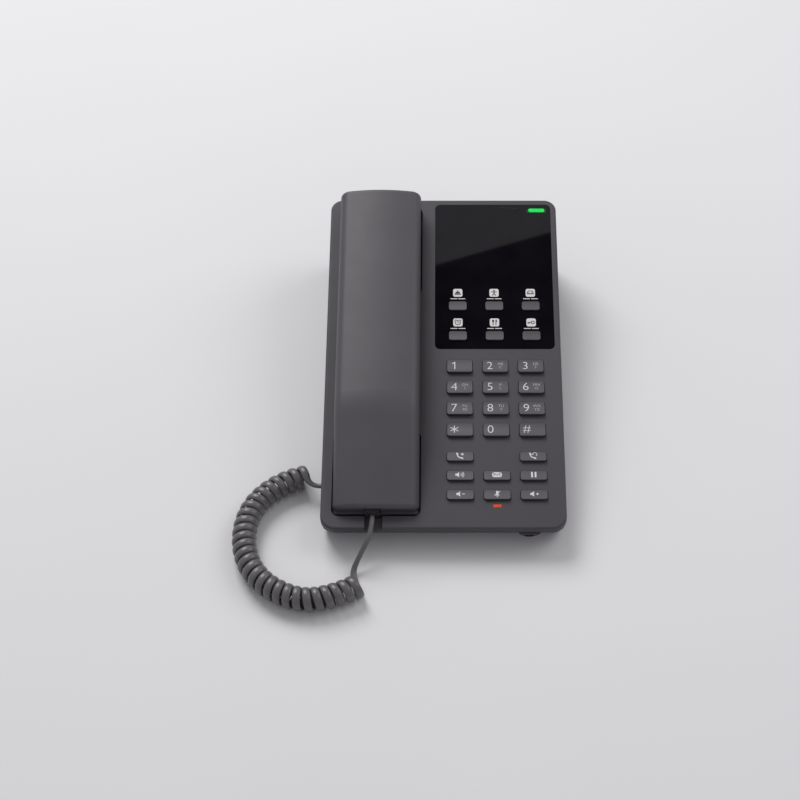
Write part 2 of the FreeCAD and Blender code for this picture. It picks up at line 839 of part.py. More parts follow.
# Rubber membrane: one sheet with a hollow-footed dome under every key.
def build_membrane():
    body = new_body("keypad_membrane")
    sheet_far = d.sheet_near + d.sheet_length
    plan = new_sketch(body, "plan", offset=-BOARD_LEVEL)
    half = d.sheet_width / 2
    rounded(plan, d.dial_x - half, d.dial_x + half, d.sheet_near, sheet_far, d.panel_corner)
    pad(plan, d.sheet_thick)
    places = key_places(DIAL_ROWS, dial_place) + key_places(FUNCTION_ROWS, function_place)
    places = places + key_places(SPEED_ROWS, speed_place)
    domes = new_sketch(body, "domes", offset=-(d.dome_level + d.dome_height))
    hollows = new_sketch(body, "hollows", offset=-BOARD_LEVEL)
    for _, x, s in places:
        disc(domes, x, s, d.dome_width)
        disc(hollows, x, s, d.dome_width - 2 * d.dome_foot)
    pad(domes, d.dome_height)
    pocket(hollows, d.sheet_thick + d.dome_height - d.dome_foot, up=True)
    return body


def build_key_board():
    body = new_body("key_board")
    plan = new_sketch(body, "plan", offset=-BOARD_LEVEL)
    block(plan, d.board_x, d.board_near + d.board_length / 2, d.board_width, d.board_length)
    pad(plan, d.board_thick, down=True)
    holes = new_sketch(body, "holes", offset=-BOARD_LEVEL)
    for x, s in BOARD_POSTS:
        disc(holes, x, s, d.small_pilot + 0.2)
    for x, s in CASE_SCREWS[3:]:
        disc(holes, x, s, d.boss_width + 1.0)
    pocket(holes, d.board_thick + 1.0)
    return body


# Hook: a plunger that the handset holds down, its spring, and the switch on a small board.
def build_hook_plunger():
    body = new_body("hook_plunger")
    top = new_sketch(body, "top", offset=-CRADLE_FLOOR)
    block(top, d.handset_x, d.hook_at, d.hook_width, d.hook_length)
    shaft = pad(top, HOOK_FLANGE - CRADLE_FLOOR, down=True)
    round_edges(shaft, d.hook_gap * 2, lambda middle, along: abs(along.z) > 0.99)
    flange = new_sketch(body, "flange", offset=-HOOK_FLANGE)
    block(flange, d.handset_x, d.hook_at, d.hook_flange_width, d.hook_flange_length)
    pad(flange, d.hook_flange_thick, down=True)
    arm = new_sketch(body, "arm", offset=-HOOK_FLANGE)
    block(arm, d.handset_x, d.hook_at - d.hook_arm / 2, d.hook_arm_width, d.hook_arm)
    pad(arm, d.hook_flange_thick, down=True)
    pin = new_sketch(body, "pin", offset=-HOOK_FLANGE)
    disc(pin, d.handset_x, d.hook_at, d.hook_pin)
    pad(pin, d.hook_flange_thick + d.hook_pin_length, down=True)
    return body


def build_hook_switch():
    body = new_body("hook_switch")
    place = d.hook_at - d.hook_arm + d.hook_arm_width / 2
    case = new_sketch(body, "case", offset=-HOOK_BOARD)
    block(case, d.handset_x, place, d.switch_width, d.switch_length)
    pad(case, d.spring_height - d.switch_button)
    button = new_sketch(body, "button", offset=-HOOK_BOARD)
    disc(button, d.handset_x, place, d.switch_button_width)
    pad(button, d.spring_height)
    return body


def build_hook_board():
    body = new_body("hook_board")
    plan = new_sketch(body, "plan", offset=-HOOK_BOARD)
    block(plan, d.handset_x, d.hook_post_at + 2.0, d.hook_board_width, d.hook_board_length)
    pad(plan, d.board_thick, down=True)
    holes = new_sketch(body, "holes", offset=-HOOK_BOARD)
    for x, s in HOOK_POSTS:
        disc(holes, x, s, d.small_pilot + 0.2)
    pocket(holes, d.board_thick + 1.0)
    return body


# Screws: the case's own, and one kind for all boards.
def build_case_screws():
    body = new_body("case_screws")
    seat = d.boss_level + d.web
    shanks = new_sketch(body, "shanks", offset=-seat)
    for x, s in CASE_SCREWS:
        disc(shanks, x, s, d.screw_width)
    pad(shanks, d.screw_length)
    heads = new_sketch(body, "heads", offset=-seat)
    for x, s in CASE_SCREWS:
        disc(heads, x, s, d.head_width)
    pad(heads, d.head_height, down=True)
    return body


def small_screws(label, groups, leaning, down):
    """Screws of the boards: a head on the board and a shank through it."""
    body = new_body(label, leaning)
    for name, level, places in groups:
        shanks = new_sketch(body, f"{name}_shanks", offset=level)
        for x, y in places:
            disc(shanks, x, y, d.small_screw)
        pad(shanks, d.small_length, down=down)
        heads = new_sketch(body, f"{name}_heads", offset=level)
        for x, y in places:
            disc(heads, x, y, d.small_head)
        pad(heads, d.small_head_height, down=not down)
    return body


def build_board_screws():
    under = [
        ("key", -(BOARD_LEVEL + d.board_thick), BOARD_POSTS),
        ("hook", -(HOOK_BOARD + d.board_thick), HOOK_POSTS),
    ]
    over = [("main", MAIN_LEVEL + d.board_thick, MAIN_POSTS)]
    upper = small_screws("board_screws_upper", under, True, False)
    lower = small_screws("board_screws_lower", over, False, True)
    both = doc.addObject("Part::Compound", "board_screws")
    both.Label = "board_screws"
    both.Links = [upper, lower]
    return both


# Bottom cover: a wedge-shaped tub with its undercut front, sockets, feet, keyholes and screw wells.
def build_bottom_cover():
    body = new_body("bottom_cover", leaning=False)
    wall = d.cover_wall
    front_y = FRONT_Y + d.tub_inset * COS_TILT + d.skirt_depth * SIN_TILT
    front_z = d.front_height + d.tub_inset * SIN_TILT - d.skirt_depth * COS_TILT
    back_z = d.front_height + (d.face_length - d.tub_inset) * SIN_TILT - d.skirt_depth * COS_TILT
    foot = d.foot_height
    toe_y = front_y + (front_z - foot) / tangent(d.undercut)
    wide = TUB_SIDE * 2 + 10.0
    near_corner = d.front_corner - d.tub_inset
    far_corner = d.back_corner - d.tub_inset
    plan = new_sketch(body, "plan", offset=foot)
    rounded(plan, -TUB_SIDE, TUB_SIDE, front_y, TUB_BACK, near_corner, far_corner)
    block_out = pad(plan, back_z - foot + 2.0)
    round_edges(block_out, d.cover_edge, lambda middle, along: near(middle.z, foot))
    hollow = new_sketch(body, "hollow", offset=FLOOR)
    inner_side = TUB_SIDE - wall
    inner_front = front_y + wall
    rounded(hollow, -inner_side, inner_side, inner_front, TUB_BACK - wall, near_corner - wall, far_corner - wall)
    pocket(hollow, up=True)
    slant = wall / sine(d.undercut)
    slab = new_sketch(body, "undercut_wall", "YZ_Plane")
    inner_toe = toe_y + slant + 1.0
    polygon(slab, [(front_y, front_z), (toe_y, foot), (inner_toe, foot), (front_y + slant, front_z + 1.0)])
    pad(slab, inner_side * 2 + wall, symmetric=True)
    step = 10.0
    lean = tangent(d.face_tilt)
    split = new_sketch(body, "split", "YZ_Plane")
    low_end = (front_y - step, front_z - step * lean)
    high_end = (TUB_BACK + step, back_z + step * lean)
    polygon(split, [low_end, high_end, (TUB_BACK + step, back_z + 20.0), (front_y - step, back_z + 20.0)])
    pocket(split, wide, symmetric=True)
    under = new_sketch(body, "undercut", "YZ_Plane")
    chin = front_y - step
    polygon(under, [(chin, front_z), (front_y, front_z), (toe_y, foot), (toe_y, foot - 1.0), (chin, foot - 1.0)])
    pocket(under, wide, symmetric=True)

    rib = new_sketch(body, "speaker_rib", offset=FLOOR)
    speaker_y = FRONT_Y + d.speaker_from_front
    disc(rib, d.speaker_x, speaker_y, d.speaker_width + 0.6)
    disc(rib, d.speaker_x, speaker_y, d.speaker_width + 0.6 + 2 * d.speaker_rib)
    pad(rib, d.gasket_thick + 2.0)
    for number, (x, s) in enumerate(CASE_SCREWS):
        tube = new_sketch(body, f"tube_{number}", offset=-d.boss_level, leaning=True)
        disc(tube, x, s, d.tube_width)
        lean = SIN_TILT * (d.boss_level - depth_below(s, foot))
        length = depth_below(s, foot) - d.boss_level + lean * tangent(d.face_tilt) - wall / 2
        pad(tube, length, down=True)
    standoffs = new_sketch(body, "standoffs", offset=FLOOR)
    for x, y in MAIN_POSTS:
        disc(standoffs, x, y, d.post_width + 1.0)
    pad(standoffs, d.standoff)
    boss_front = FRONT_Y + d.skirt_depth * SIN_TILT - 0.6
    boss_top = d.front_height - d.skirt_depth * COS_TILT
    boss = new_sketch(body, "mic_boss", "XZ_Plane", -boss_front)
    boss_half = d.mic_boss_width / 2
    boss_radius = (boss_half * boss_half + d.mic_boss_drop * d.mic_boss_drop) / (2 * d.mic_boss_drop)
    left = (d.mic_x - boss_half, boss_top)
    right = (d.mic_x + boss_half, boss_top)
    hanging_arc(boss, left, right, boss_radius)
    ends = [Vector(a.value, b.value, 0) for a, b in (right, left)]
    boss.addGeometry(Part.LineSegment(*ends), False)
    boss.addConstraint(Sketcher.Constraint("Coincident", 0, 2, 1, 1))
    boss.addConstraint(Sketcher.Constraint("Coincident", 1, 2, 0, 1))
    pad(boss, d.mic_boss_depth, down=True)
    tower = new_sketch(body, "mic_tower", "XZ_Plane", -MIC_SEAT + d.mic_wall)
    disc(tower, d.mic_x, MIC_Z, d.mic_width + 2 * d.mic_wall)
    pad(tower, d.mic_length + d.mic_wall, down=True)

    duct = new_sketch(body, "mic_duct", "XZ_Plane", -boss_front)
    block(duct, d.mic_x, boss_top - d.mic_boss_drop * 0.55, d.mic_slot_width, d.mic_slot_height)
    pocket(duct, MIC_SEAT - boss_front + 0.5)
    mic_hole = new_sketch(body, "mic_hole", "XZ_Plane", -MIC_SEAT)
    disc(mic_hole, d.mic_x, MIC_Z, d.mic_width + 0.2)
    pocket(mic_hole, d.mic_length + 1.0)
    seat = d.boss_level + d.web
    wells = new_sketch(body, "wells", offset=-seat, leaning=True)
    clear = new_sketch(body, "clear", offset=-d.boss_level, leaning=True)
    for x, s in CASE_SCREWS:
        disc(wells, x, s, d.head_width + 2 * d.well_gap)
        disc(clear, x, s, d.pilot_width + 0.4)
    pocket(wells)
    pocket(clear, d.web + 0.5)
    pilots = new_sketch(body, "pilots", offset=MAIN_LEVEL)
    for x, y in MAIN_POSTS:
        disc(pilots, x, y, d.small_pilot)
    pocket(pilots, d.small_length - d.board_thick + 0.2)
    feet = new_sketch(body, "feet", offset=foot)
    for x, y in FEET:
        disc(feet, x, y, d.foot_width)
    pocket(feet, d.foot_recess, up=True)
    rounds = new_sketch(body, "keyholes", offset=foot)
    slots = new_sketch(body, "keyhole_slots", offset=foot)
    for row in range(2):
        y = FRONT_Y + d.keyhole_from_front + row * d.keyhole_pitch
        half_slot = d.keyhole_slot / 2
        disc(rounds, d.keyhole_x, y, d.keyhole_width)
        slot_end = y + d.keyhole_run + half_slot
        left, right = d.keyhole_x - half_slot, d.keyhole_x + half_slot
        rounded(slots, left, right, y, slot_end, half_slot * 0.2, half_slot * 0.96)
    pocket(rounds, wall + 1.0, up=True)
    pocket(slots, wall + 1.0, up=True)
    grille = new_sketch(body, "grille", offset=foot)
    half_slot = d.slot_length / 2
    half_width = d.slot_width / 2
    for row in range(-2, 3):
        y = speaker_y + row * d.slot_pitch
        left_end = d.speaker_x - half_slot
        right_end = d.speaker_x + half_slot
        polygon(
            grille,
            [
                (left_end, y - half_width),
                (right_end, y - half_width),
                (right_end, y + half_width),
                (left_end, y + half_width),
            ],
        )
    pocket(grille, wall + 1.0, up=True)
    gap = 2 * d.socket_gap
    rear = new_sketch(body, "rear_windows", "XZ_Plane", -TUB_BACK)
    block(rear, d.network_x, NETWORK_BASE + d.network_height / 2, d.network_width + gap, d.network_height + gap)
    block(rear, d.power_x, NETWORK_BASE + d.power_height / 2, d.power_width + gap, d.power_height + gap)
    pocket(rear, 2 * wall + 2.0, symmetric=True)
    relief = new_sketch(body, "cradle_relief", offset=-(CRADLE_BASE + 0.4), leaning=True)
    cradle_ends = d.cradle_end_gap + d.cradle_wall + 0.4
    cradle_sides = d.cradle_gap + d.cradle_wall + 0.4
    cradle_length = d.ear_end - d.mouth_end + 2 * cradle_ends
    block(relief, d.handset_x, (d.ear_end + d.mouth_end) / 2, d.handset_width + 2 * cradle_sides, cradle_length)
    pocket(relief, CRADLE_BASE, up=True)
    window = new_sketch(body, "side_window", "YZ_Plane", -TUB_SIDE)
    block(window, JACK_Y, FLOOR + JACK_HEIGHT / 2, d.jack_width + gap, JACK_HEIGHT)
    pocket(window, 2 * wall + 2.0, symmetric=True)
    return body


# Boards, sockets, loudspeaker, microphone and feet in the tub.
def build_main_board():
    body = new_body("main_board", leaning=False)
    plan = new_sketch(body, "plan", offset=MAIN_LEVEL)
    block(plan, d.main_board_x, (MAIN_FRONT + MAIN_BACK) / 2, d.main_board_width, d.main_board_length)
    pad(plan, d.board_thick)
    holes = new_sketch(body, "holes", offset=MAIN_LEVEL)
    for x, y in MAIN_POSTS:
        disc(holes, x, y, d.small_pilot + 0.2)
    pocket(holes, d.board_thick + 1.0, up=True)
    return body


def build_network_jack():
    body = new_body("network_jack", leaning=False)
    case = new_sketch(body, "case", "XZ_Plane", -TUB_BACK)
    block(case, d.network_x, NETWORK_BASE + d.network_height / 2, d.network_width, d.network_height)
    pad(case, d.network_depth)
    ports = new_sketch(body, "ports", "XZ_Plane", -TUB_BACK)
    middle = NETWORK_BASE + d.port_sill + d.port_height / 2
    for side in (-1, 1):
        block(ports, d.network_x + side * d.network_pitch / 2, middle, d.port_width, d.port_height)
    pocket(ports, d.port_depth, up=True)
    return body


def build_power_jack():
    body = new_body("power_jack", leaning=False)
    middle = NETWORK_BASE + d.power_height / 2
    case = new_sketch(body, "case", "XZ_Plane", -TUB_BACK)
    block(case, d.power_x, middle, d.power_width, d.power_height)
    pad(case, d.power_depth)
    bore = new_sketch(body, "bore", "XZ_Plane", -TUB_BACK)
    disc(bore, d.power_x, middle, d.power_bore)
    pocket(bore, d.power_bore_depth, up=True)
    pin = new_sketch(body, "pin", "XZ_Plane", -TUB_BACK + d.power_bore_depth)
    disc(pin, d.power_x, middle, d.power_pin)
    pad(pin, d.power_bore_depth - 1.0, down=True)
    return body


def build_base_cord_jack():
    body = new_body("base_cord_jack", leaning=False)
    case = new_sketch(body, "case", "YZ_Plane", -TUB_SIDE)
    block(case, JACK_Y, FLOOR + JACK_HEIGHT / 2, d.jack_width, JACK_HEIGHT)
    pad(case, d.jack_length)
    mouth = new_sketch(body, "mouth", "YZ_Plane", -TUB_SIDE)
    gap = 2 * d.plug_gap
    block(mouth, JACK_Y, d.jack_center, d.plug_width + gap, d.plug_height + gap)
    pocket(mouth, d.plug_length - d.plug_out, up=True)
    return body


def build_loudspeaker():
    body = new_body("loudspeaker", leaning=False)
    x = d.speaker_x
    y = FRONT_Y + d.speaker_from_front
    seat = FLOOR + d.gasket_thick
    flange = new_sketch(body, "flange", offset=seat)
    disc(flange, x, y, d.speaker_width)
    pad(flange, as_dim(2.0))
    wide = new_sketch(body, "basket", offset=seat + 2.0)
    disc(wide, x, y, d.speaker_width * 0.88)
    narrow = new_sketch(body, "basket_end", offset=seat + d.speaker_height * 0.6)
    disc(narrow, x, y, d.speaker_width * 0.5)
    basket = body.newObject("PartDesign::AdditiveLoft", "loudspeaker_basket_solid")
    basket.Profile = wide
    basket.Sections = [narrow]
    body.Tip = basket
    magnet = new_sketch(body, "magnet", offset=seat + d.speaker_height * 0.6)
    disc(magnet, x, y, d.speaker_width * 0.56)
    pad(magnet, d.speaker_height * 0.4)
    return body


def build_speaker_gasket():
    body = new_body("speaker_gasket", leaning=False)
    ring = new_sketch(body, "ring", offset=FLOOR)
    y = FRONT_Y + d.speaker_from_front
    disc(ring, d.speaker_x, y, d.speaker_width)
    disc(ring, d.speaker_x, y, d.speaker_width * 0.86)
    pad(ring, d.gasket_thick)
    return body


def build_handsfree_mic():
    body = new_body("handsfree_mic", leaning=False)
    case = new_sketch(body, "case", "XZ_Plane", -MIC_SEAT)
    disc(case, d.mic_x, MIC_Z, d.mic_width)
    pad(case, d.mic_length, down=True)
    return body


def build_rubber_feet():
    body = new_body("rubber_feet", leaning=False)
    soles = new_sketch(body, "soles")
    for x, y in FEET:
        disc(soles, x, y, d.foot_width - 0.2)
    foot = pad(soles, d.foot_height + d.foot_recess)
    round_edges(foot, d.foot_recess * 0.6, lambda middle, along: near(middle.z, 0))
    return body


# Handset: a back swept along its bent spine, a front shell with two cups, and what lies between them.
def slope_crown(s):
    """Height of the back's middle line over the face, on the part that slopes to the mouth end."""
    return d.crown_height - (d.bend_at - s) * tangent(d.bend_angle)


def spine_path(body, name, far_end, near_end):
    """The back's middle line: level from the ear end, a bend, then sloping to the mouth end."""
    sketch = new_sketch(body, name, "YZ_Plane", d.handset_x)
    reach = d.bend_radius * tangent(d.bend_angle / 2)
    top = d.crown_height
    bend = d.bend_at + reach
    slope_start = (d.bend_at - reach * cosine(d.bend_angle), top - reach * sine(d.bend_angle))
    points = [(far_end, top), (bend, top), slope_start, (near_end, slope_crown(near_end))]
    places = [Vector(s.value, z.value, 0) for s, z in points]
    sketch.addGeometry(Part.LineSegment(places[0], places[1]), False)
    middle = Vector(bend.value, (top - d.bend_radius).value, 0)
    turn = math.radians(d.bend_angle.value)
    circle = Part.Circle(middle, Vector(0, 0, 1), d.bend_radius.value)
    arc = Part.ArcOfCircle(circle, math.pi / 2, math.pi / 2 + turn)
    sketch.addGeometry(arc, False)
    sketch.addGeometry(Part.LineSegment(places[2], places[3]), False)
    fix_point(sketch, 0, 1, *points[0])
    fix_point(sketch, 0, 2, *points[1])
    fix_point(sketch, 1, 3, bend, top - d.bend_radius)
    sketch.addConstraint(Sketcher.Constraint("Coincident", 0, 2, 1, 1))
    sketch.addConstraint(Sketcher.Constraint("Tangent", 1, 2, 2, 1))
    fix_point(sketch, 2, 2, *points[3])
    return sketch


def back_section(body, name, far_end, inset, drop):
    """Cross-section of the back: flat below, upright sides, rounded shoulders and a crowned top."""
    sketch = new_sketch(body, name, "XZ_Plane", -far_end)
    half = d.handset_width / 2 - inset
    x = d.handset_x
    low = d.crown_height - d.back_depth - drop
    corner = d.side_radius - inset
    crown = d.crown_radius - inset
    crown_z = d.crown_height - d.crown_radius
    reach = math.sqrt((crown.value - corner.value) ** 2 - (half.value - corner.value) ** 2)
    shoulder_z = crown_z.value + reach
    lean = math.atan2(reach, half.value - corner.value)
    axis = Vector(0, 0, 1)
    left = x - half
    right = x + half
    right_round = Part.Circle(Vector((right - corner).value, shoulder_z, 0), axis, corner.value)
    left_round = Part.Circle(Vector((left + corner).value, shoulder_z, 0), axis, corner.value)
    crown_round = Part.Circle(Vector(x.value, crown_z.value, 0), axis, crown.value)
    low_left = Vector(left.value, low.value, 0)
    low_right = Vector(right.value, low.value, 0)
    high_left = Vector(left.value, shoulder_z, 0)
    high_right = Vector(right.value, shoulder_z, 0)
    sketch.addGeometry(Part.LineSegment(low_left, low_right), False)
    sketch.addGeometry(Part.LineSegment(low_right, high_right), False)
    sketch.addGeometry(Part.ArcOfCircle(right_round, 0, lean), False)
    sketch.addGeometry(Part.ArcOfCircle(crown_round, lean, math.pi - lean), False)
    sketch.addGeometry(Part.ArcOfCircle(left_round, math.pi - lean, math.pi), False)
    sketch.addGeometry(Part.LineSegment(high_left, low_left), False)
    fix_point(sketch, 0, 1, left, low)
    fix_point(sketch, 0, 2, right, low)
    sketch.addConstraint(Sketcher.Constraint("Coincident", 0, 2, 1, 1))
    sketch.addConstraint(Sketcher.Constraint("Vertical", 1))
    for step in range(1, 5):
        sketch.addConstraint(Sketcher.Constraint("Tangent", step, 2, step + 1, 1))
    sketch.addConstraint(Sketcher.Constraint("Coincident", 5, 2, 0, 1))
    sketch.addConstraint(Sketcher.Constraint("Vertical", 5))
    fix(sketch, "Radius", corner, 2)
    fix(sketch, "Radius", crown, 3)
    fix(sketch, "Radius", corner, 4)
    fix_point(sketch, 3, 3, x, crown_z)
    return sketch


def sweep(kind, section, spine):
    body = section.getParentGeoFeatureGroup()
    feature = body.newObject(kind, f"{section.Name}_solid")
    feature.Profile = section
    feature.Spine = (spine, ["Edge1", "Edge2", "Edge3"])
    feature.Refine = False
    body.Tip = feature
    return feature


def plug_window(body):
    """Cut the opening for the cord's plug through the mouth end."""
    sketch = new_sketch(body, "plug_window", "XZ_Plane", -(d.mouth_end - 1.0))
    gap = 2 * d.socket_gap
    block(sketch, d.cord_x, PLUG_MIDDLE, d.plug_width + gap, d.plug_height + gap)
    pocket(sketch, d.shell_wall * 3 + 1.0)


HANDSET_SCREWS = [
    (d.handset_screw_near, slope_crown(d.handset_screw_near)),
    (d.handset_screw_far, d.crown_height),
]


def build_handset_back():
    body = new_body("handset_back")
    outer = back_section(body, "section", d.ear_end, ZERO, ZERO)
    path = spine_path(body, "spine", d.ear_end, d.mouth_end)
    shell = sweep("PartDesign::AdditivePipe", outer, path)
    low = d.crown_height - d.back_depth
    tip = Vector(d.handset_x.value, d.mouth_end.value, slope_crown(d.mouth_end).value)
    turn = math.radians(d.bend_angle.value)
    forward = Vector(0, -math.cos(turn), -math.sin(turn))
    down = Vector(0, math.sin(turn), -math.cos(turn))

    def end_edge(middle, along):
        at_ear = near(middle.y, d.ear_end) and middle.z > low.value + 0.01
        at_mouth = near((middle - tip).dot(forward), 0) and (middle - tip).dot(down) < d.back_depth.value - 0.01
        return at_ear or at_mouth

    round_edges(shell, d.end_radius, end_edge)
    inner = back_section(body, "cavity", d.ear_end - d.shell_wall, d.shell_wall, as_dim(1.0))
    inner_path = spine_path(body, "cavity_spine", d.ear_end - d.shell_wall, d.mouth_end + d.shell_wall)
    sweep("PartDesign::SubtractivePipe", inner, inner_path)
    for number, (s, crown) in enumerate(HANDSET_SCREWS):
        boss = new_sketch(body, f"boss_{number}", offset=d.handset_seat)
        disc(boss, d.handset_x, s, d.boss_width)
        pad(boss, crown - d.handset_seat - d.shell_wall * 0.45)
    pilots = new_sketch(body, "pilots", offset=d.handset_seat)
    for s, _ in HANDSET_SCREWS:
        disc(pilots, d.handset_x, s, d.pilot_width)
    pocket(pilots, d.pilot_depth, up=True)
    plug_window(body)
    return body


def cup_profile(inset, over):
    """Outline of the front shell seen from the side, moved inward by a wall."""
    slant = inset / sine(d.cup_slope)
    floor = inset - d.cup_depth
    grip = d.grip_height + inset
    rise = (floor + d.cup_depth) / tangent(d.cup_slope)
    near_end = d.mouth_end + d.shell_inset + inset
    far_end = d.ear_end - d.shell_inset - inset
    mouth_low = d.mouth_cup - slant + rise
    ear_low = d.ear_cup + slant - rise
    run = CUP_RUN
    return [
        (near_end, floor),
        (mouth_low, floor),
        (mouth_low + run, grip),
        (ear_low - run, grip),
        (ear_low, floor),
        (far_end, floor),
        (far_end, over),
        (near_end, over),
    ]


def build_handset_front():
    body = new_body("handset_front")
    width = d.handset_width - 2 * d.shell_inset
    profile = new_sketch(body, "profile", "YZ_Plane", d.handset_x)
    polygon(profile, cup_profile(ZERO, d.crown_height))
    cups = pad(profile, width, symmetric=True)
    round_edges(cups, d.cup_edge, lambda middle, along: abs(along.x) > 0.99 and middle.z < 8.0)
    split = new_sketch(body, "split", "XZ_Plane", -(d.ear_end + 6.0))
    low = d.crown_height - d.back_depth
    block(split, d.handset_x, low + 15.0, d.handset_width + 20.0, as_dim(30.0))
    path = spine_path(body, "split_spine", d.ear_end + 6.0, d.mouth_end - 6.0)
    sweep("PartDesign::SubtractivePipe", split, path)
    hollow = new_sketch(body, "hollow", "YZ_Plane", d.handset_x)
    polygon(hollow, cup_profile(d.shell_wall, d.crown_height))
    pocket(hollow, width - 2 * d.shell_wall, symmetric=True)
    floor = d.shell_wall - d.cup_depth
    tubes = new_sketch(body, "tubes", offset=floor - d.shell_wall / 2)
    wells = new_sketch(body, "wells", offset=d.handset_seat - d.web)
    clear = new_sketch(body, "clear", offset=d.handset_seat)
    for s, _ in HANDSET_SCREWS:
        disc(tubes, d.handset_x, s, d.tube_width)
        disc(wells, d.handset_x, s, d.head_width + 2 * d.well_gap)
        disc(clear, d.handset_x, s, d.pilot_width + 0.4)
    pad(tubes, d.handset_seat - floor + d.shell_wall / 2)
    pocket(wells)
    pocket(clear, d.web + 0.5)
    sound = new_sketch(body, "sound", offset=floor)
    disc(sound, d.handset_x, d.receiver_at, d.sound_hole)
    for step in range(6):
        turn = math.radians(60 * step)
        x = d.handset_x + d.sound_ring * round(math.cos(turn), 6)
        s = d.receiver_at + d.sound_ring * round(math.sin(turn), 6)
        disc(sound, x, s, d.sound_hole)
    disc(sound, d.handset_x, d.capsule_at, d.capsule_hole)
    pocket(sound, d.shell_wall + 1.0)
    plug_window(body)
    return body


def build_receiver():
    body = new_body("receiver")
    floor = d.shell_wall - d.cup_depth
    rim = new_sketch(body, "rim", offset=floor)
    disc(rim, d.handset_x, d.receiver_at, d.receiver_width)
    pad(rim, as_dim(3.0))
    magnet = new_sketch(body, "magnet", offset=floor + 3.0)
    disc(magnet, d.handset_x, d.receiver_at, d.receiver_width * 0.62)
    pad(magnet, as_dim(5.0))
    return body


def build_handset_mic():
    body = new_body("handset_mic")
    case = new_sketch(body, "case", offset=d.shell_wall - d.cup_depth)
    disc(case, d.handset_x, d.capsule_at, d.capsule_width)
    pad(case, d.capsule_height)
    return body


def build_handset_weight():
    body = new_body("handset_weight")
    bar = new_sketch(body, "bar", offset=d.grip_height + d.shell_wall)
    block(bar, d.handset_x, d.weight_at, d.weight_width, d.weight_length)
    pad(bar, d.weight_height)
    return body


def build_handset_cord_jack():
    body = new_body("handset_cord_jack")
    floor = d.shell_wall - d.cup_depth
    top = PLUG_MIDDLE + d.plug_height / 2 + d.plug_gap + 0.6
    start = d.mouth_end + d.shell_wall * 2.5
    case = new_sketch(body, "case", "XZ_Plane", -start)
    block(case, d.cord_x, (floor + top) / 2, d.jack_width, top - floor)
    pad(case, d.plug_length, down=True)
    mouth = new_sketch(body, "mouth", "XZ_Plane", -start)
    gap = 2 * d.plug_gap
    block(mouth, d.cord_x, PLUG_MIDDLE, d.plug_width + gap, d.plug_height + gap)
    pocket(mouth, PLUG_REAR + d.plug_length - start)
    return body


def build_handset_screws():
    body = new_body("handset_screws")
    level = d.handset_seat - d.web
    shanks = new_sketch(body, "shanks", offset=level)
    heads = new_sketch(body, "heads", offset=level)
    for s, _ in HANDSET_SCREWS:
        disc(shanks, d.handset_x, s, d.screw_width)
        disc(heads, d.handset_x, s, d.head_width)
    pad(shanks, d.screw_length)
    pad(heads, d.head_height, down=True)
    return body


# Cord: a plug at each end, two tails and the curls between them.
def build_plug(label, leaning):
    body = new_body(label, leaning)
    if leaning:
        case = new_sketch(body, "case", "XZ_Plane", -PLUG_REAR)
        block(case, d.cord_x, PLUG_MIDDLE, d.plug_width, d.plug_height)
        pad(case, d.plug_length, down=True)
    else:
        case = new_sketch(body, "case", "YZ_Plane", -(TUB_SIDE + d.plug_out))
        block(case, JACK_Y, d.jack_center, d.plug_width, d.plug_height)
        pad(case, d.plug_length)
    return body


def arc_between(start, heading, end):
    """An arc that leaves a point along a heading and ends at another point."""
    chord = end - start
    cosine_half = max(-1.0, min(1.0, heading.dot(chord) / chord.Length))
    half_turn = math.acos(cosine_half)
    side = heading - chord * (heading.dot(chord) / chord.Length ** 2)
    if side.Length < 1e-9:
        return Part.LineSegment(start, end)
    side.normalize()
    sag = chord.Length / 2 * math.tan(half_turn / 2)
    return Part.Arc(start, (start + end) / 2 + side * sag, end)


def biarc(start, heading, end, arrival):
    """Two arcs that meet smoothly, from one point and heading to another."""
    span = end - start
    both = heading + arrival
    spread = 2 * (1 - heading.dot(arrival))
    reach = (math.sqrt(span.dot(both) ** 2 + spread * span.dot(span)) - span.dot(both)) / spread
    joint = (start + end + (heading - arrival) * reach) / 2
    leaving = arc_between(start, heading, joint)
    back = arc_between(end, -arrival, joint)
    middle = back.value((back.FirstParameter + back.LastParameter) / 2)
    return [leaving, Part.Arc(joint, middle, end)]


def tube_along(edges, start, heading, width):
    """Sweep a round section along joined edges."""
    path = Part.Wire([edge.toShape() for edge in edges])
    ring = Part.Wire([Part.Circle(start, heading, width / 2).toShape()])
    shell = Part.BRepOffsetAPI.MakePipeShell(path)
    shell.add(ring)
    shell.build()
    shell.makeSolid()
    return shell.shape()


def curls(place, turns, per_turn, wire, straight):
    """Tube wound along a curve that gives a point for each number of turns, with straight ends."""
    step = 1.0 / per_turn
    count = int(round(turns * per_turn))
    tiny = 1e-4

    def heading_at(turn):
        ahead = place(min(turn + tiny, turns)) - place(max(turn - tiny, 0.0))
        return ahead.normalize()

    knots = [(place(number * step), heading_at(number * step)) for number in range(count + 1)]
    edges = []
    if straight > 0:
        edges.append(Part.LineSegment(knots[0][0] - knots[0][1] * straight, knots[0][0]))
    for (start, heading), (end, arrival) in zip(knots, knots[1:]):
        edges.extend(biarc(start, heading, end, arrival))
    if straight > 0:
        edges.append(Part.LineSegment(knots[-1][0], knots[-1][0] + knots[-1][1] * straight))
    first = knots[0][0] - knots[0][1] * straight
    last = knots[-1][0] + knots[-1][1] * straight
    return tube_along(edges, first, knots[0][1], wire), edges, (first, knots[0][1]), (last, knots[-1][1])


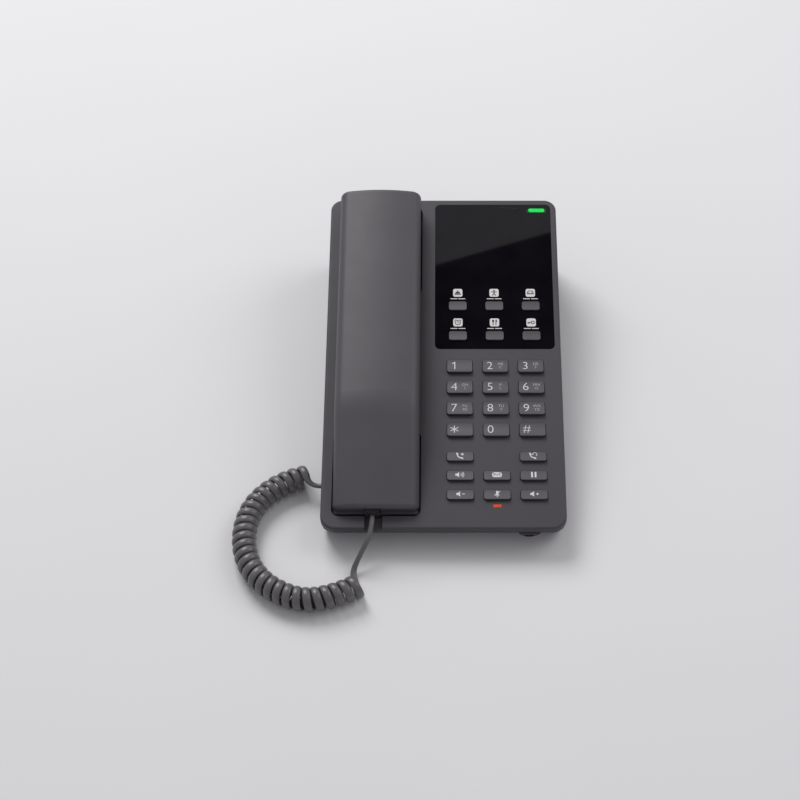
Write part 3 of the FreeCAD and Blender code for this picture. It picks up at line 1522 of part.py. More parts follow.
def tail(points, width):
    """Tube of straight runs joined by tangent arcs through points."""
    edges = []
    radii = []
    start = points[0]
    for before, corner, after in zip(points, points[1:], points[2:]):
        incoming = (corner - before).normalize()
        outgoing = (after - corner).normalize()
        turn = incoming.getAngle(outgoing)
        reach = 0.45 * min((corner - before).Length, (after - corner).Length)
        radii.append(reach / math.tan(turn / 2))
        arc_start = corner - incoming * reach
        arc_end = corner + outgoing * reach
        edges.append(Part.LineSegment(start, arc_start))
        edges.append(arc_between(arc_start, incoming, arc_end))
        start = arc_end
    edges.append(Part.LineSegment(start, points[-1]))
    heading = (points[1] - points[0]).normalize()
    return tube_along(edges, points[0], heading, width), edges, radii


def shape_feature(label, shape, placement=None):
    feature = doc.addObject("Part::Feature", label)
    feature.Label = label
    feature.Shape = shape
    if placement is not None:
        feature.Placement = placement
    return feature


def build_hook_spring():
    radius = d.spring_radius.value
    wire = d.spring_wire.value
    turns = d.spring_turns.value
    low = wire / 2 + 0.05 - HOOK_BOARD.value
    pitch = (d.spring_height.value - wire - 0.1) / turns

    def place(turn):
        angle = 2 * math.pi * turn
        x = d.handset_x.value + radius * math.cos(angle)
        s = d.hook_at.value + radius * math.sin(angle)
        return Vector(x, s, low + pitch * turn)

    shape = curls(place, turns, 4, wire, 0.0)[0]
    return shape_feature("hook_spring", shape, FACE)


# Middle line of the curls on the table, as poles from the base's end to the handset's end.
COIL_POLES = (
    (-82.0, 44.1),
    (-97.0, 33.5),
    (-107.5, 15.0),
    (-106.5, -10.0),
    (-97.0, -30.0),
    (-80.0, -38.5),
    (-60.0, -37.0),
    (-45.0, -30.0),
)


def build_cord():
    width = d.cord_width.value
    radius = d.coil_radius.value
    height = d.coil_height.value
    turns = d.coil_turns.value
    front = FRONT_Y.value
    axis = Part.BSplineCurve()
    poles = [Vector(x, front + y, height) for x, y in COIL_POLES]
    knots = list(range(len(poles) - 1))
    axis.buildFromPolesMultsKnots(poles, [3] + [1] * (len(knots) - 2) + [3], knots, False, 2)
    length = axis.length()
    up = Vector(0, 0, 1)

    def place(turn):
        at = axis.parameterAtDistance(length * turn / turns, axis.FirstParameter)
        ahead = axis.tangent(at)[0]
        side = up.cross(ahead)
        angle = math.pi / 2 + 2 * math.pi * turn
        return axis.value(at) + side * (radius * math.cos(angle)) + up * (radius * math.sin(angle))

    coil, coil_edges, first, last = curls(place, turns, 4, width, width)
    base_start = Vector(-(TUB_SIDE + d.plug_out).value, JACK_Y.value, d.jack_center.value)
    bend = base_start + Vector(-6.0, 0, 0)
    near_coil = first[0] - first[1] * (width * 1.4)
    base_tail, base_edges, base_radii = tail([base_start, bend, near_coil, first[0]], width)
    plug_end = FACE.multVec(Vector(d.cord_x.value, PLUG_REAR.value, PLUG_MIDDLE.value))
    forward = FACE.Rotation.multVec(Vector(0, -1, 0))
    over_edge = plug_end + forward * 10.4
    rising = Vector(-45.0, front - 11.5, 7.6)
    leaving = last[0] + last[1] * (width * 2.2)
    handset_tail, handset_edges, handset_radii = tail([plug_end, over_edge, rising, leaving, last[0]], width)
    for name, shape, edges in (
        ("coil", coil, coil_edges),
        ("base tail", base_tail, base_edges),
        ("handset tail", handset_tail, handset_edges),
    ):
        run = sum(edge.length() for edge in edges)
        swept = math.pi * width ** 2 / 4 * run
        print(f"{name}: length {run:.1f}, volume {shape.Volume:.1f}, section x length {swept:.1f}")
    print("tail radii", [round(value, 1) for value in base_radii + handset_radii])
    samples = [place(turns * number / 1200) for number in range(1201)]
    gap = min(
        (samples[one] - samples[two]).Length
        for one in range(0, 1201, 3)
        for two in range(one + 24, min(one + 70, 1201))
    )
    print(f"least gap between curls {gap - width:.2f}")
    return [
        shape_feature("cord_coil", coil),
        shape_feature("cord_base_tail", base_tail),
        shape_feature("cord_handset_tail", handset_tail),
    ]


def build_all():
    panel, face = build_openings()
    status_seat = d.cover_wall + d.panel_thick
    bodies = [
        with_openings("top_cover", build_top_cover(), panel + face),
        build_bottom_cover(),
        with_openings("faceplate", build_faceplate(), panel),
        build_light("status_light", d.status_x, d.status_at, d.status_width, d.status_length, status_seat),
        build_light("mute_light", d.mute_x, d.mute_at, d.mute_width, d.mute_length, d.cover_wall),
        build_membrane(),
        build_key_board(),
        build_hook_plunger(),
        build_hook_switch(),
        build_hook_board(),
        build_hook_spring(),
        build_case_screws(),
        build_board_screws(),
        build_main_board(),
        build_network_jack(),
        build_power_jack(),
        build_base_cord_jack(),
        build_loudspeaker(),
        build_speaker_gasket(),
        build_handsfree_mic(),
        build_rubber_feet(),
        build_handset_back(),
        build_handset_front(),
        build_receiver(),
        build_handset_mic(),
        build_handset_weight(),
        build_handset_cord_jack(),
        build_handset_screws(),
        build_plug("cord_base_plug", False),
        build_plug("cord_handset_plug", True),
    ]
    return bodies + build_cord() + build_keys()


nodes = build_all()
doc.recompute()
for item in doc.Objects:
    if "Invalid" in item.State or "Error" in item.State:
        raise ValueError(f"{item.Name} did not build")
os.makedirs("parts", exist_ok=True)
for node in nodes:
    if node.Shape.isNull() or not node.Shape.isValid():
        raise ValueError(f"{node.Label} has no valid shape")
    node.Shape.exportStep(f"parts/{node.Label}.step")
print(len(nodes), "sub-parts written")
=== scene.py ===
"""Looks of a desk telephone with a curly handset cord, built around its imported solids."""

import enum
import json
import logging
import math
from dataclasses import dataclass, field

import bmesh
import bpy
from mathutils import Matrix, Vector
from mathutils.bvhtree import BVHTree


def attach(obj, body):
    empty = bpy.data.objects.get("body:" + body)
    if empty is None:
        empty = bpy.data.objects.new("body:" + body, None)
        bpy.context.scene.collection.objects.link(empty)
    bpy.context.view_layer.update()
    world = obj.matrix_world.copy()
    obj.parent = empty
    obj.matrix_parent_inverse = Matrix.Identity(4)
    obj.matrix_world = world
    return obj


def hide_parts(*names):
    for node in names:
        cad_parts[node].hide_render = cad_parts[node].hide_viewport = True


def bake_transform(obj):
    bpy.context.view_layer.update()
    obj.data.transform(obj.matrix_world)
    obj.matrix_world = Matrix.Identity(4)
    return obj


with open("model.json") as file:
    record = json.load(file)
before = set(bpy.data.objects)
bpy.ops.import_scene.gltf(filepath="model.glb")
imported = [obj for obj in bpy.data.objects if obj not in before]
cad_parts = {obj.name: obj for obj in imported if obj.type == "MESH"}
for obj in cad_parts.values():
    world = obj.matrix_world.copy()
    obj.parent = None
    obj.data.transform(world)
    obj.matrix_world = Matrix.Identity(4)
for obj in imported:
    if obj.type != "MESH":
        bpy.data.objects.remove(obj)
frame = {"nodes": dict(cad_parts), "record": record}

LOG = logging.getLogger("desk_phone")
MM = 0.001
Point = tuple[float, float]
Place = tuple[float, float, float]
Colour = tuple[float, float, float]
Socket = bpy.types.NodeSocket
Material = bpy.types.Material


def srgb(red: int, green: int, blue: int) -> Colour:
    """Turn a screen colour into the linear colour that shaders take.

    Args:
        red: Red from 0 to 255.
        green: Green from 0 to 255.
        blue: Blue from 0 to 255.

    Returns:
        The linear colour.
    """

    def linear(value: int) -> float:
        """Turn one channel into linear light."""
        share = value / 255
        return share / 12.92 if share <= 0.04045 else ((share + 0.055) / 1.055) ** 2.4

    return linear(red), linear(green), linear(blue)


@dataclass(frozen=True)
class LeaningFace:
    """The base's face in mm: x to the right, s up the slope from the front edge, h out of it."""

    tilt: float = 10.0
    front_y: float = -105.41
    front_z: float = 17.0

    @property
    def normal(self) -> Vector:
        """Direction out of the face."""
        turn = math.radians(self.tilt)
        return Vector((0, -math.sin(turn), math.cos(turn)))

    @property
    def uphill(self) -> Vector:
        """Direction up the slope, to the back."""
        turn = math.radians(self.tilt)
        return Vector((0, math.cos(turn), math.sin(turn)))

    def at(self, x: float, s: float, h: float = 0.0) -> Vector:
        """Give the place of a point on the face.

        Args:
            x: Place across.
            s: Place up the slope.
            h: Height over the face.

        Returns:
            The point in the row frame, in metres.
        """
        start = Vector((x, self.front_y, self.front_z))
        return (start + self.uphill * s + self.normal * h) * MM


FACE = LeaningFace()


class Paint:
    """A material's nodes, added and joined by short calls."""

    def __init__(self, name: str) -> None:
        """Start a material with a bare surface shader.

        Args:
            name: The material's name.
        """
        self.material = bpy.data.materials.new(name)
        self.material.use_nodes = True
        self.tree = self.material.node_tree
        self.shader = self.tree.nodes["Principled BSDF"]
        self.place = self.tree.nodes.new("ShaderNodeTexCoord").outputs["Object"]

    def set(self, **values: float | tuple) -> None:
        """Set plain values on the shader, with words joined by underscores.

        Args:
            values: Socket names and their values.
        """
        for name, value in values.items():
            self.shader.inputs[name.replace("_", " ")].default_value = value

    def join(self, output: Socket, node: bpy.types.Node, name: str | int) -> None:
        """Join an output to a node's input.

        Args:
            output: Where the value comes from.
            node: The node that takes it.
            name: The input's name or number.
        """
        self.tree.links.new(output, node.inputs[name])

    def noise(self, size: float, detail: float = 3.0, stretch: Place = (1, 1, 1)) -> Socket:
        """Add noise with features of a real size.

        Args:
            size: Size of the features in mm.
            detail: Levels of finer noise.
            stretch: Scale along each axis.

        Returns:
            The noise from 0 to 1.
        """
        mapping = self.tree.nodes.new("ShaderNodeMapping")
        mapping.inputs["Scale"].default_value = stretch
        self.join(self.place, mapping, "Vector")
        texture = self.tree.nodes.new("ShaderNodeTexNoise")
        texture.inputs["Scale"].default_value = 1 / (size * MM)
        texture.inputs["Detail"].default_value = detail
        self.join(mapping.outputs["Vector"], texture, "Vector")
        return texture.outputs["Fac"]

    def ramp(self, value: Socket, low: Colour, high: Colour, ends: Point = (0.3, 0.7)) -> None:
        """Colour the surface between two shades.

        Args:
            value: What picks the shade.
            low: Shade at the low end.
            high: Shade at the high end.
            ends: Values of the two ends.
        """
        ramp = self.tree.nodes.new("ShaderNodeValToRGB")
        for stop, colour, place in zip(ramp.color_ramp.elements, (low, high), ends):
            stop.color = (*colour, 1)
            stop.position = place
        self.join(value, ramp, "Fac")
        self.join(ramp.outputs["Color"], self.shader, "Base Color")

    def vary(self, value: Socket, socket: str, low: float, high: float) -> None:
        """Drive one of the shader's numbers between two values.

        Args:
            value: What picks the number.
            socket: The shader's input.
            low: Number where the value is low.
            high: Number where the value is high.
        """
        span = self.tree.nodes.new("ShaderNodeMapRange")
        span.inputs["To Min"].default_value = low
        span.inputs["To Max"].default_value = high
        self.join(value, span, "Value")
        self.join(span.outputs["Result"], self.shader, socket)

    def bump(self, value: Socket, depth: float) -> None:
        """Raise and lower the surface.

        Args:
            value: Height from 0 to 1.
            depth: Full depth in mm.
        """
        node = self.tree.nodes.new("ShaderNodeBump")
        node.inputs["Distance"].default_value = depth * MM
        node.inputs["Strength"].default_value = 1.0
        self.join(value, node, "Height")
        self.join(node.outputs["Normal"], self.shader, "Normal")


def shade(colour: Colour, factor: float) -> Colour:
    """Give a lighter or darker colour.

    Args:
        colour: The colour.
        factor: Above 1 is lighter.

    Returns:
        The new colour.
    """
    red, green, blue = (min(1.0, channel * factor) for channel in colour)
    return red, green, blue


@dataclass(frozen=True)
class Moulded:
    """Moulded plastic or rubber with an etched grain and faint clouds in its colour, in mm."""

    name: str
    colour: Colour
    roughness: float
    grain: float = 0.35
    depth: float = 0.02
    clouds: float = 0.06
    specular: float = 0.4
    cloud_size: float = 38.0
    sheen_size: float = 9.0
    sheen: float = 0.05

    def build(self) -> Material:
        """Make the material.

        Returns:
            The material.
        """
        paint = Paint(self.name)
        darker = shade(self.colour, 1 - self.clouds)
        lighter = shade(self.colour, 1 + self.clouds)
        paint.ramp(paint.noise(self.cloud_size), darker, lighter)
        smooth = self.roughness - self.sheen
        paint.vary(paint.noise(self.sheen_size), "Roughness", smooth, self.roughness + self.sheen)
        paint.bump(paint.noise(self.grain, 2.0), self.depth)
        paint.set(Specular_IOR_Level=self.specular)
        return paint.material


@dataclass(frozen=True)
class Polished:
    """Polished panel with a hard clear surface and faint wiping marks, in mm."""

    name: str
    colour: Colour
    roughness: float = 0.02
    cloud_size: float = 14.0
    cloud_range: Point = (0.8, 1.25)
    wiping_size: float = 6.0
    wiping_detail: float = 4.0
    wiping_stretch: Place = (0.4, 1.0, 1.0)
    wiping_range: Point = (0.7, 1.6)
    specular: float = 0.5

    def build(self) -> Material:
        """Make the material.

        Returns:
            The material.
        """
        paint = Paint(self.name)
        darker, lighter = (shade(self.colour, share) for share in self.cloud_range)
        paint.ramp(paint.noise(self.cloud_size), darker, lighter)
        wiping = paint.noise(self.wiping_size, self.wiping_detail, self.wiping_stretch)
        smooth, rough = (self.roughness * share for share in self.wiping_range)
        paint.vary(wiping, "Roughness", smooth, rough)
        paint.set(Specular_IOR_Level=self.specular)
        return paint.material


@dataclass(frozen=True)
class Glowing:
    """Light pipe with a moulded lens pattern, lit from behind, in mm."""

    name: str
    colour: Colour
    glow: float
    roughness: float = 0.25
    patch_size: float = 2.2
    patch_range: Point = (0.75, 1.2)
    lens_size: float = 0.5
    lens_depth: float = 0.03

    def build(self) -> Material:
        """Make the material.

        Returns:
            The material.
        """
        paint = Paint(self.name)
        darker, lighter = (shade(self.colour, share) for share in self.patch_range)
        paint.ramp(paint.noise(self.patch_size, 1.0), darker, lighter)
        paint.bump(paint.noise(self.lens_size, 1.0), self.lens_depth)
        paint.set(Roughness=self.roughness)
        paint.set(Emission_Color=(*self.colour, 1), Emission_Strength=self.glow)
        return paint.material


@dataclass(frozen=True)
class Metal:
    """Bare metal with fine turning marks, in mm."""

    name: str
    colour: Colour
    roughness: float
    mark_size: float = 0.6
    mark_stretch: Place = (1.0, 1.0, 12.0)
    mark_shade: float = 0.85
    mark_range: Point = (0.8, 1.3)
    mark_depth: float = 0.01

    def build(self) -> Material:
        """Make the material.

        Returns:
            The material.
        """
        paint = Paint(self.name)
        marks = paint.noise(self.mark_size, 3.0, self.mark_stretch)
        paint.ramp(marks, shade(self.colour, self.mark_shade), self.colour)
        smooth, rough = (self.roughness * share for share in self.mark_range)
        paint.vary(marks, "Roughness", smooth, rough)
        paint.bump(marks, self.mark_depth)
        paint.set(Metallic=1.0)
        return paint.material


@dataclass(frozen=True)
class Laminate:
    """Circuit board with darker runs of copper under its lacquer, in mm."""

    name: str
    colour: Colour
    roughness: float = 0.35
    run_size: float = 5.0
    run_shade: float = 0.55
    run_ends: Point = (0.15, 0.3)
    run_depth: float = 0.04

    def build(self) -> Material:
        """Make the material.

        Returns:
            The material.
        """
        paint = Paint(self.name)
        runs = paint.tree.nodes.new("ShaderNodeTexVoronoi")
        runs.distance = "MANHATTAN"
        runs.inputs["Scale"].default_value = 1 / (self.run_size * MM)
        paint.join(paint.place, runs, "Vector")
        copper = shade(self.colour, self.run_shade)
        paint.ramp(runs.outputs["Distance"], copper, self.colour, self.run_ends)
        paint.bump(runs.outputs["Distance"], self.run_depth)
        paint.set(Roughness=self.roughness)
        return paint.material


@dataclass(frozen=True)
class Printed:
    """Printed ink, a little uneven in its cover, in mm."""

    name: str
    colour: Colour
    roughness: float = 0.5
    patch_size: float = 0.7
    patch_shade: float = 0.88
    grain: float = 0.2
    depth: float = 0.004

    def build(self) -> Material:
        """Make the material.

        Returns:
            The material.
        """
        paint = Paint(self.name)
        thin = shade(self.colour, self.patch_shade)
        paint.ramp(paint.noise(self.patch_size), thin, self.colour)
        paint.bump(paint.noise(self.grain), self.depth)
        paint.set(Roughness=self.roughness)
        return paint.material


SLOT_FINISHES = {
    "base_plastic": Moulded("base_plastic_moulded", srgb(68, 65, 71), 0.5),
    "handset_plastic": Moulded("handset_plastic_moulded", srgb(80, 77, 82), 0.48),
    "panel_gloss": Polished("panel_gloss_polished", srgb(17, 14, 19)),
    "key_plastic": Moulded("key_plastic_moulded", srgb(76, 73, 79), 0.4, 0.25, 0.012),
    "green_light": Glowing("green_light_pipe", srgb(0, 190, 74), 0.6),
    "red_light": Glowing("red_light_pipe", srgb(190, 66, 34), 0.5),
    "silicone": Moulded("silicone_sheet", srgb(150, 150, 152), 0.6, 0.6, 0.02),
    "rubber": Moulded("rubber_feet_grain", srgb(42, 42, 42), 0.8, 0.5, 0.05, 0.12, 0.25),
    "circuit_board": Laminate("board_laminate", srgb(46, 108, 66)),
    "steel": Metal("steel_turned", srgb(190, 190, 192), 0.32),
    "socket_black": Moulded("socket_moulded", srgb(34, 34, 36), 0.5, 0.4, 0.02),
    "transducer": Moulded("transducer_shell", srgb(58, 58, 60), 0.4, 0.5, 0.02),
    "clear_plug": Moulded("plug_smoky", srgb(56, 54, 58), 0.2, 0.8, 0.01, 0.1, 0.5),
    "cord_vinyl": Moulded("cord_vinyl_soft", srgb(96, 93, 97), 0.34, 0.5, 0.015, 0.08, 0.6),
}


@dataclass
class PhotoCamera:
    """Camera at the photograph's angle, in mm and pixels of an 800 pixel square."""

    place: Place = (0.0, -668.8, 823.9)
    look_down: float = 50.0
    focal_pixels: float = 1843.2
    centre: Point = (443.5, 365.0)
    pixels: float = 800.0
    sensor: float = 36.0

    def build(self) -> bpy.types.Object:
        """Make the camera and set it as the scene's.

        Returns:
            The camera.
        """
        data = bpy.data.cameras.new("photo_camera")
        data.sensor_width = self.sensor
        data.lens = self.focal_pixels / self.pixels * self.sensor
        middle = self.pixels / 2
        data.shift_x = (middle - self.centre[0]) / self.pixels
        data.shift_y = (self.centre[1] - middle) / self.pixels
        camera = bpy.data.objects.new("photo_camera", data)
        camera.location = Vector(self.place) * MM
        camera.rotation_euler = (math.radians(90 - self.look_down), 0, 0)
        bpy.context.scene.collection.objects.link(camera)
        bpy.context.scene.camera = camera
        return camera


def link_mesh(name: str, mesh: bpy.types.Mesh, material: Material) -> bpy.types.Object:
    """Put a mesh in the scene with its material.

    Args:
        name: The piece's name.
        mesh: Its mesh.
        material: Its finish.

    Returns:
        The new object.
    """
    piece = bpy.data.objects.new(name, mesh)
    mesh.materials.append(material)
    bpy.context.scene.collection.objects.link(piece)
    return piece


def spline_points(points: list[Vector], resolution: int) -> list[Vector]:
    """Read points along the smooth line that a route's points steer.

    Args:
        points: The route's points, in metres.
        resolution: Steps for each point.

    Returns:
        Points along the line.
    """
    data = bpy.data.curves.new("route", "CURVE")
    data.dimensions = "3D"
    data.resolution_u = resolution
    spline = data.splines.new("NURBS")
    spline.points.add(len(points) - 1)
    for target, point in zip(spline.points, points):
        target.co = (*point, 1)
    spline.order_u = 3
    spline.use_endpoint_u = True
    holder = bpy.data.objects.new("route", data)
    mesh = bpy.data.meshes.new_from_object(holder)
    found = [vertex.co.copy() for vertex in mesh.vertices]
    bpy.data.objects.remove(holder)
    bpy.data.curves.remove(data)
    bpy.data.meshes.remove(mesh)
    return found


@dataclass
class CurlyCord:
    """The handset cord in mm: a tail from the base, curls on the table, a tail to the handset.

    Attributes:
        width: Wide side of the cord's flat section.
        thick: Thin side of it.
        tail_width: Wide side where the tails meet their plugs.
        radius: Radius of the curls, to the middle of the cord.
        height: Height of the curls' middle line over the table.
        turns: Number of curls.
        first_turn: Where the first curl starts, in degrees up from its left side.
        rings_per_turn: Rings of the tube in each curl.
        sides: Points in each ring of the tube.
        straight: Straight run after the last curl.
        socket: Where the base tail starts, from the base's front edge.
        to_curls: Run before the first curl at which the base tail is steered.
        from_curls: Run after the straight at which the handset tail is steered.
        rising: Where the handset tail is steered up, from the base's front edge.
        over_edge: Run before the plug at which the handset tail is steered.
        plug: Where the handset tail ends, on the leaning face.
        tail_steps: Steps for each point along the base tail and the handset tail.
        tail_powers: How fast the base tail widens and the handset tail narrows.
        pull: A direction over the table, toward the handset; not used.
        give: A run in that direction, up to the plug; not used.
        middle_line: Points that steer the curls' middle line, from the base's front edge.
        line_steps: Steps for each point along it.
    """

    width: float = 4.4
    thick: float = 2.3
    tail_width: float = 2.7
    radius: float = 5.5
    height: float = 6.9
    turns: float = 27.597
    first_turn: float = 55.0
    rings_per_turn: int = 28
    sides: int = 14
    straight: float = 3.6
    socket: Place = (-66.0, 33.8, 9.2)
    to_curls: float = 6.0
    from_curls: float = 7.9
    rising: Place = (-45.0, -11.5, 7.6)
    over_edge: float = 10.4
    plug: Place = (-38.0, 7.6, 1.2)
    tail_steps: tuple[int, int] = (16, 8)
    tail_powers: tuple[int, int] = (3, 4)
    pull: Point = (0.7, -0.714)
    give: float = 38.0
    middle_line: list[Point] = field(
        default_factory=lambda: [
            (-76.0, 41.6),
            (-87.9, 38.7),
            (-104.8, 21.8),
            (-108.2, -2.6),
            (-99.4, -25.3),
            (-77.2, -39.1),
            (-57.6, -36.4),
            (-45.0, -29.5),
        ]
    )
    line_steps: int = 24

    def on_table(self, x: float, y: float, z: float) -> Vector:
        """Give a point that is measured from the base's front edge.

        Args:
            x: Place across.
            y: Place behind the front edge.
            z: Height over the table.

        Returns:
            The point in metres.
        """
        return Vector((x, FACE.front_y + y, z)) * MM

    def curls(self) -> tuple[list[Vector], list[Vector]]:
        """Wind the curls round their middle line.

        Returns:
            Points of the wire and, for each, the direction of the middle line.
        """
        steering = [self.on_table(x, y, self.height) for x, y in self.middle_line]
        line = spline_points(steering, self.line_steps)
        headings = [(end - start).normalized() for start, end in zip(line, line[1:])]
        runs = [0.0]
        for start, end in zip(line, line[1:]):
            runs.append(runs[-1] + (end - start).length)
        count = round(self.turns * self.rings_per_turn)
        first = math.radians(self.first_turn)
        up = Vector((0, 0, 1))
        points: list[Vector] = []
        aheads: list[Vector] = []
        step = 0
        for number in range(count + 1):
            run = runs[-1] * number / count
            while step < len(line) - 2 and runs[step + 1] < run:
                step += 1
            share = (run - runs[step]) / (runs[step + 1] - runs[step])
            # The heading turns smoothly from the middle of one short run to the middle of the next.
            here = headings[step]
            if share > 0.5:
                ahead = here.lerp(headings[min(step + 1, len(headings) - 1)], share - 0.5)
            else:
                ahead = headings[max(step - 1, 0)].lerp(here, 0.5 + share)
            ahead.normalize()
            turn = first + 2 * math.pi * self.turns * number / count
            offset = up.cross(ahead) * math.cos(turn) + up * math.sin(turn)
            points.append(line[step].lerp(line[step + 1], share) + offset * self.radius * MM)
            aheads.append(ahead)
        return points, aheads

    def route(self) -> tuple[list[Vector], list[Vector], list[float]]:
        """Join the tails and the curls.

        Returns:
            Points along the cord from the base to the handset, the direction of its wide side at
            each and its width there.
        """
        curls, aheads = self.curls()
        entry = (curls[1] - curls[0]).normalized()
        leave = (curls[-1] - curls[-2]) * Vector((1, 1, 0))
        leave.normalize()
        base_steps, handset_steps = self.tail_steps
        base_power, handset_power = self.tail_powers
        socket = self.on_table(*self.socket)
        corner = curls[0] - entry * self.to_curls * MM
        base_tail = spline_points([socket, corner, curls[0]], base_steps)[:-1]
        last = curls[-1] + leave * self.straight * MM
        plug = FACE.at(*self.plug)
        edge = plug - FACE.uphill * self.over_edge * MM
        rising = self.on_table(*self.rising)
        leaving = last + leave * self.from_curls * MM
        handset_tail = spline_points([last, leaving, rising, edge, plug], handset_steps)
        points = base_tail + curls + handset_tail
        wide = []
        widths = []
        widening = self.width - self.tail_width
        for number in range(len(base_tail)):
            share = number / len(base_tail)
            wide.append(Vector((0, -1, 0)).lerp(aheads[0], share))
            widths.append(self.tail_width + widening * share**base_power)
        wide.extend(aheads)
        widths.extend([self.width] * len(aheads))
        for number in range(len(handset_tail)):
            share = number / len(handset_tail)
            wide.append(aheads[-1].lerp(Vector((1, 0, 0)), share))
            widths.append(self.tail_width + widening * (1 - share) ** handset_power)
        return points, wide, widths

    def build(self, finish: Material) -> None:
        """Args:
            finish: The cord's material.
        """
        points, wide, widths = self.route()
        mesh = bmesh.new()
        rings = []
        last = len(points) - 1
        for number, point in enumerate(points):
            heading = (points[min(number + 1, last)] - points[max(number - 1, 0)]).normalized()
            across = (wide[number] - heading * wide[number].dot(heading)).normalized()
            up = heading.cross(across)
            ring = []
            for side in range(self.sides):
                turn = 2 * math.pi * side / self.sides
                reach = across * math.cos(turn) * widths[number] + up * math.sin(turn) * self.thick
                ring.append(mesh.verts.new(point + reach / 2 * MM))
            rings.append(ring)
        for one, two in zip(rings, rings[1:]):
            for side in range(self.sides):
                after = (side + 1) % self.sides
                mesh.faces.new((one[side], one[after], two[after], two[side])).smooth = True
        mesh.faces.new(list(reversed(rings[0])))
        mesh.faces.new(rings[-1])
        mesh.normal_update()
        data = bpy.data.meshes.new("handset_cord")
        mesh.to_mesh(data)
        mesh.free()
        cord = link_mesh("handset_cord", data, finish)
        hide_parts("cord_coil", "cord_base_tail", "cord_handset_tail")
        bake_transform(cord)


@dataclass
class BottomCover:
    """The bottom cover with its front corners drawn in to its round plan, in mm.

    Attributes:
        side: Half of the cover's width.
        front: Its start behind the base's front edge.
        corner: Radius of its front corners.
        spare: What may stand past that radius and stays as it is.
    """

    side: float = 64.8
    front: float = 2.05
    corner: float = 6.8
    spare: float = 0.05

    def build(self, finish: Material) -> None:
        """Make the cover from its solid.

        Args:
            finish: The cover's material.
        """
        data = frame["nodes"]["bottom_cover"].data.copy()
        data.materials.clear()
        lean = math.tan(math.radians(FACE.tilt))
        centre_x = self.side - self.corner
        centre_y = FACE.front_y + self.front + self.corner
        for vertex in data.vertices:
            place = vertex.co / MM
            hand = math.copysign(1.0, place.x)
            out = Vector((abs(place.x) - centre_x, centre_y - place.y))
            if min(out) > 0 and out.length > self.corner + self.spare:
                move = out * (self.corner / out.length) - out
                vertex.co += Vector((hand * move.x, -move.y, -move.y * lean)) * MM
        cover = link_mesh("bottom_cover_shell", data, finish)
        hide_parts("bottom_cover")
        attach(cover, "base")
        LOG.info("bottom cover: front corners drawn in")


